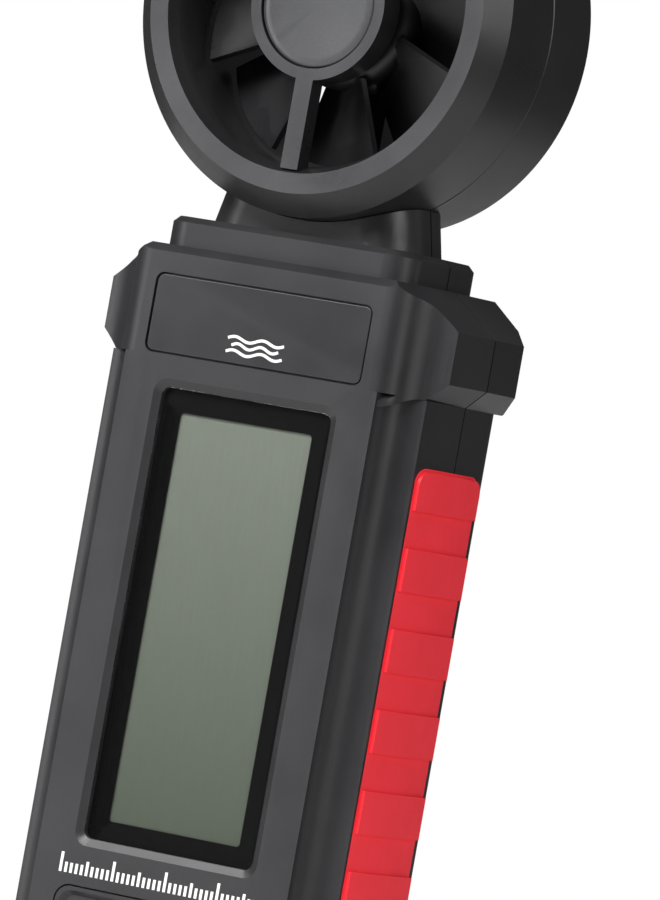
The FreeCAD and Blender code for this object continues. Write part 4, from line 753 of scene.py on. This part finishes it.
def printed_mark(name: str, outlines: Sequence[Sequence[Point2]], centre: Vector, body: str,
                 ink: PrintedInk, film_mm: float = 0.03) -> None:
    """Lay a thin film of ink, cut to closed outlines, on a surface that faces the front.

    Args:
        name: The piece's name.
        outlines: Closed outlines in millimetres, to the right and up from the centre.
        centre: The mark's centre on the surface, in metres.
        body: The body it rides on.
        ink: The finish.
        film_mm: The film's thickness.
    """
    bm = bmesh.new()
    for outline in outlines:
        front = [bm.verts.new((centre.x + x * MM, centre.y - film_mm * MM, centre.z + z * MM))
                 for x, z in outline]
        back = [bm.verts.new((v.co.x, centre.y + INK_SUNK_MM * MM, v.co.z)) for v in front]
        bm.faces.new(front)
        bm.faces.new(list(reversed(back)))
        for i in range(len(front)):
            j = (i + 1) % len(front)
            bm.faces.new((front[j], front[i], back[i], back[j]))
    piece = finish_mesh(bm, name, keep_sharp_deg=20.0)
    SHOP.dress(piece, ink)
    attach(piece, body)
    LOG.info("%s printed on %s", name, body)


def bar(x0: float, x1: float, z0: float, z1: float) -> list[Point2]:
    """A rectangle's outline."""
    return [(x0, z0), (x1, z0), (x1, z1), (x0, z1)]


def arc_band(radius: float, width: float, start: float, end: float, steps: int = 28) -> list[Point2]:
    """The outline of a curved stroke.

    Args:
        radius: The stroke's middle radius.
        width: The stroke's width.
        start: First angle in degrees.
        end: Last angle in degrees.
        steps: Facets along the stroke.

    Returns:
        The closed outline.
    """
    angles = [math.radians(start + (end - start) * k / steps) for k in range(steps + 1)]
    outer = [((radius + width / 2) * math.cos(a), (radius + width / 2) * math.sin(a)) for a in angles]
    inner = [((radius - width / 2) * math.cos(a), (radius - width / 2) * math.sin(a)) for a in angles]
    return outer + list(reversed(inner))


def shifted(outline: Sequence[Point2], dz: float) -> list[Point2]:
    """An outline moved up."""
    return [(x, z + dz) for x, z in outline]


def stroke(path: Sequence[Point2], width: float) -> list[Point2]:
    """The outline of an even stroke along a path.

    Args:
        path: Points along the stroke's middle.
        width: The stroke's width.

    Returns:
        The closed outline.
    """
    left, right = [], []
    for i, here in enumerate(path):
        before = Vector(path[max(i - 1, 0)])
        after = Vector(path[min(i + 1, len(path) - 1)])
        way = (after - before).normalized()
        side = Vector((-way.y, way.x)) * (width / 2)
        left.append((here[0] + side.x, here[1] + side.y))
        right.append((here[0] - side.x, here[1] - side.y))
    return left + list(reversed(right))


# ------------------------------------------------------------------ sub-assemblies
@dataclass(frozen=True)
class FanHead:
    """The duct ring in two halves, the hub with its cap, and the rotor."""

    cap_radius: float = 9.3
    cap_dish: float = 0.198
    cap_edge: float = 0.35
    cap_fall: float = 0.25
    cap_roll: float = 0.2
    dish_drop: float = 0.03
    dish_steps: int = 12

    def build(self) -> None:
        """Build every visible piece of the head."""
        refined_copy("fan_ring_front", "ring_front", Edge.FINE, CASE, turned=True)
        refined_copy("fan_ring_rear", "ring_rear", Edge.FINE, CASE, turned=True)
        refined_copy("impeller", "vane_wheel", Edge.FINE, ROTOR, turned=True)
        self.cap()
        for node in ("front_bearing", "rear_bearing", "impeller_shaft", "impeller_magnet",
                     "pickup_board", "sensor_cable"):
            SHOP.dress_node(node)

    def cap(self) -> None:
        """The satin cap: a rolled edge round a shallow dish."""
        low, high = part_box("hub_cap")
        thick = (high.y - low.y) / MM
        r = self.cap_radius
        corners = [(r, thick, 0.0), (r, self.cap_fall, self.cap_roll),
                   (r - self.cap_edge, 0.0, self.cap_roll)]
        profile = rounded_profile(corners, steps=4)
        inner = r - 2 * self.cap_edge
        for k in range(self.dish_steps + 1):
            share = 1 - k / self.dish_steps
            profile.append((inner * share, self.cap_dish * (1 - share ** 2) + self.dish_drop))
        profile.append((0.0, thick))
        bm = lathe(profile, FAN_AXIS, low.y, segments=180)
        piece = finish_mesh(bm, "satin_cap", keep_sharp_deg=30.0)
        SHOP.dress(piece, FINISHES["cap_plastic"])
        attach(piece, CASE)
        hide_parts("hub_cap")
        LOG.info("satin_cap stands for hub_cap")


@dataclass(frozen=True)
class Case:
    """The two shells, the nameplate and the printing on them."""

    scale_half: float = 17.3
    scale_low: float = 46.4
    scale_step: float = 0.9
    tick_width: float = 0.46
    tick_heights: tuple[tuple[int, float], ...] = ((10, 2.9), (5, 2.1), (1, 1.5))
    breeze_z: float = 126.8
    breeze_halves: tuple[float, float, float] = (4.8, 4.0, 4.8)
    breeze_swing: float = 0.32
    breeze_line: float = 0.42
    breeze_spacing: float = 1.0
    breeze_steps: int = 36

    def build(self) -> None:
        """Build the shells, the plate and the printing."""
        refined_copy("front_shell", "shell_front", Edge.SOFT, CASE)
        refined_copy("rear_shell", "shell_rear", Edge.SOFT, CASE)
        refined_copy("nameplate", "blank_plate", Edge.FINE, CASE)
        self.printed_scale()
        self.breeze_mark()

    def printed_scale(self) -> None:
        """A white scale of ticks below the display."""
        outlines = []
        count = int(2 * self.scale_half / self.scale_step)
        for i in range(count + 1):
            x = -self.scale_half + i * self.scale_step
            tall = next(height for every, height in self.tick_heights if i % every == 0)
            outlines.append(bar(x, x + self.tick_width, 0.0, tall))
        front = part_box("front_shell")[0].y
        printed_mark("printed_scale", outlines, Vector((0.0, front, self.scale_low * MM)), CASE, WHITE_INK)

    def breeze_mark(self) -> None:
        """Three wavy strokes on the nameplate, for moving air."""
        outlines = []
        for row, half in enumerate(self.breeze_halves):
            path = [(-half + 2 * half * k / self.breeze_steps,
                     self.breeze_swing * math.sin(4 * math.pi * k / self.breeze_steps))
                    for k in range(self.breeze_steps + 1)]
            outlines.append(shifted(stroke(path, self.breeze_line), (row - 1) * self.breeze_spacing))
        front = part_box("nameplate")[0].y
        printed_mark("breeze_mark", outlines, Vector((0.0, front, self.breeze_z * MM)), CASE, WHITE_INK)


@dataclass(frozen=True)
class Display:
    """The lens, its printed border, and the display cell with what holds it."""

    def build(self) -> None:
        """Build the lens and dress what lies behind it."""
        refined_copy("display_window", "display_lens", Edge.CRISP, CASE)
        for node in ("display_mask", "lcd_panel", "lcd_holder", "lcd_backlight", "zebra_strip"):
            SHOP.dress_node(node)


@dataclass(frozen=True)
class Grips:
    """The two soft side grips."""

    def build(self) -> None:
        """Round every edge of both grips."""
        for side in ("right", "left"):
            refined_copy(f"{side}_grip", f"soft_grip_{side}", Edge.FINE, CASE, least_turn_deg=18.0)


@dataclass(frozen=True)
class Keypad:
    """The panel, its six keys and the symbols printed on them."""

    line: float = 0.42

    def marks(self) -> dict[str, Callable[[], list[list[Point2]]]]:
        """The symbol of each key."""
        return {
            "key_power": self.power, "key_hold": self.hold, "key_max_min": self.high_low,
            "key_unit": self.swap, "key_backlight": self.lamp, "key_scale": self.steps,
        }

    def build(self) -> None:
        """Build the panel, the keys and their symbols."""
        refined_copy("key_panel", "keypad_panel", Edge.FINE, CASE)
        for node, mark in self.marks().items():
            body = f"{node}_body"
            refined_copy(node, f"{node}_cap", Edge.FINE, body)
            low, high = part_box(node)
            centre = Vector(((low.x + high.x) / 2, low.y, (low.z + high.z) / 2))
            ink = RED_INK if node == "key_power" else DARK_INK
            printed_mark(f"{node}_mark", mark(), centre, body, ink, film_mm=0.02)

    def power(self) -> list[list[Point2]]:
        """An open ring with a stroke at its top."""
        return [arc_band(2.1, self.line, 125, 415), bar(-self.line / 2, self.line / 2, 0.5, 2.8)]

    def hold(self) -> list[list[Point2]]:
        """Two upright bars."""
        return [bar(-1.5, -0.5, -1.8, 1.8), bar(0.5, 1.5, -1.8, 1.8)]

    def high_low(self) -> list[list[Point2]]:
        """A triangle up and a triangle down."""
        return [[(-1.7, 0.5), (1.7, 0.5), (0.0, 2.6)], [(0.0, -2.6), (1.7, -0.5), (-1.7, -0.5)]]

    def swap(self) -> list[list[Point2]]:
        """Two arrows that point opposite ways."""
        arrow = [(-2.6, 0.7), (1.2, 0.7), (1.2, 0.3), (2.7, 0.95), (1.2, 1.6), (1.2, 1.2), (-2.6, 1.2)]
        return [arrow, [(-x, -z) for x, z in arrow]]

    def lamp(self) -> list[list[Point2]]:
        """A disc with eight rays."""
        disc = [(1.15 * math.cos(a), 1.15 * math.sin(a)) for a in (math.tau * k / 28 for k in range(28))]
        rays = []
        for k in range(8):
            a = math.tau * k / 8
            rays.append(stroke([(r * math.cos(a), r * math.sin(a)) for r in (1.6, 2.5)], self.line))
        return [disc] + rays

    def steps(self) -> list[list[Point2]]:
        """Four bars that rise to the right."""
        return [bar(-2.6 + 1.4 * i, -1.6 + 1.4 * i, -1.9, -0.9 + 1.0 * i) for i in range(4)]


@dataclass(frozen=True)
class Back:
    """The battery door, the tripod insert and the screws."""

    def build(self) -> None:
        """Build the pieces seen from behind."""
        refined_copy("battery_door", "sliding_door", Edge.FINE, DOOR)
        refined_copy("tripod_insert", "threaded_insert", Edge.CRISP, CASE)
        refined_copy("case_screws", "shell_screws", Edge.CRISP, CASE, segments=2)
        refined_copy("ring_screws", "fan_screws", Edge.CRISP, CASE, segments=2)


@dataclass(frozen=True)
class Inside:
    """The boards, cells and contacts, which stay as the CAD made them."""

    nodes: tuple[str, ...] = (
        "tactile_switches", "main_board", "controller_chip", "buzzer", "cable_socket", "board_screws",
        "contact_plates", "contact_springs", "battery_1", "battery_2", "battery_3")

    def build(self) -> None:
        """Dress each inner node."""
        for node in self.nodes:
            SHOP.dress_node(node)


@dataclass(frozen=True)
class SoftLight:
    """One soft box of studio light."""

    name: str
    azimuth: float
    elevation: float
    distance: float
    width: float
    height: float
    watts: float
    tint: str = "ffffff"

    def build(self, aim: Vector) -> None:
        """Hang the light and turn it to the aim.

        Args:
            aim: The point it faces, in metres.
        """
        lamp = bpy.data.lights.new(self.name, "AREA")
        lamp.shape = "RECTANGLE"
        lamp.size = self.width
        lamp.size_y = self.height
        lamp.energy = self.watts
        lamp.color = linear(self.tint)[:3]
        item = bpy.data.objects.new(self.name, lamp)
        bpy.context.scene.collection.objects.link(item)
        a = math.radians(self.azimuth)
        e = math.radians(self.elevation)
        away = Vector((math.sin(a) * math.cos(e), -math.cos(a) * math.cos(e), math.sin(e)))
        item.location = aim + away * self.distance
        item.rotation_mode = "QUATERNION"
        item.rotation_quaternion = away.to_track_quat("Z", "Y")


@dataclass(frozen=True)
class Studio:
    """The pale floor, the soft light and the camera."""

    azimuth: float = 29.87
    elevation: float = -0.316
    roll: float = 10.064
    distance: float = 1.2371
    lens: float = 341.04
    aim: tuple[float, float, float] = (0.01553, -0.0139, 0.11413)
    floor_radius: float = 0.48
    floor_top_mm: float = -0.3
    floor_thickness_mm: float = 3.0
    ambient: float = 0.08
    light_aim: tuple[float, float, float] = (0.0, 0.0, 0.125)
    lights: tuple[SoftLight, ...] = (
        SoftLight("key_box", -16.0, 42.0, 0.95, 0.80, 0.40, 13.0),
        SoftLight("front_fill", -46.0, 6.0, 1.00, 0.26, 0.90, 3.0),
        SoftLight("side_fill", 68.0, 22.0, 1.10, 0.40, 0.70, 3.9),
        SoftLight("rear_rim", 120.0, 6.0, 0.95, 0.14, 0.80, 0.35),
    )

    def build(self) -> None:
        """Set the floor, the world, the lights and the camera."""
        self.floor()
        self.world()
        for light in self.lights:
            light.build(Vector(self.light_aim))
        self.camera()
        view = bpy.context.scene.view_settings
        view.view_transform = "Standard"
        view.look = "None"

    def floor(self) -> None:
        """A round sheet of pale paper under the object."""
        r = self.floor_radius / MM
        top = self.floor_top_mm
        foot = top - self.floor_thickness_mm
        profile = rounded_profile([(0.0, foot, 0.0), (r, foot, 1.0), (r, top, 1.0), (0.0, top, 0.0)])
        bm = lathe(profile, Vector((0.0, 0.0, 0.0)), 0.0, segments=160)
        bmesh.ops.rotate(bm, verts=bm.verts, cent=(0, 0, 0), matrix=Matrix.Rotation(math.pi / 2, 3, "X"))
        floor = finish_mesh(bm, "paper_floor")
        SHOP.dress(floor, PaperSweep("pale_studio_paper", "f2f2f2"))

    def world(self) -> None:
        """White behind the object, and a dimmer even light on it."""
        world = bpy.data.worlds.new("studio")
        bpy.context.scene.world = world
        world.use_nodes = True
        tree = world.node_tree
        tree.nodes.clear()
        seen = add_node(tree, "ShaderNodeBackground", {"Color": grey(1.0), "Strength": 1.0})
        lit = add_node(tree, "ShaderNodeBackground", {"Color": grey(1.0), "Strength": self.ambient})
        path = add_node(tree, "ShaderNodeLightPath")
        mix = add_node(tree, "ShaderNodeMixShader", {
            0: path.outputs["Is Camera Ray"], 1: lit.outputs[0], 2: seen.outputs[0]})
        add_node(tree, "ShaderNodeOutputWorld", {"Surface": mix.outputs[0]})

    def camera(self) -> None:
        """A long lens level with the object, turned to its right and rolled."""
        a = math.radians(self.azimuth)
        e = math.radians(self.elevation)
        r = math.radians(self.roll)
        back = Vector((math.sin(a) * math.cos(e), -math.cos(a) * math.cos(e), math.sin(e)))
        level = Vector((math.cos(a), math.sin(a), 0.0))
        upward = back.cross(level)
        right = level * math.cos(r) + upward * math.sin(r)
        up = upward * math.cos(r) - level * math.sin(r)
        lens = bpy.data.cameras.new("camera")
        lens.lens = self.lens
        lens.sensor_width = 36.0
        lens.sensor_fit = "AUTO"
        lens.clip_start = 0.05
        lens.clip_end = 20.0
        camera = bpy.data.objects.new("camera", lens)
        bpy.context.scene.collection.objects.link(camera)
        turn = Matrix((right, up, back)).transposed().to_4x4()
        camera.matrix_world = Matrix.Translation(Vector(self.aim) + back * self.distance) @ turn
        bpy.context.scene.camera = camera


def main() -> None:
    """Build the sub-assemblies in order, then the studio."""
    logging.basicConfig(level=logging.INFO, format="%(name)s: %(message)s")
    for assembly in (FanHead(), Case(), Display(), Grips(), Keypad(), Back(), Inside(), Studio()):
        assembly.build()


if __name__ == "__main__":
    main()
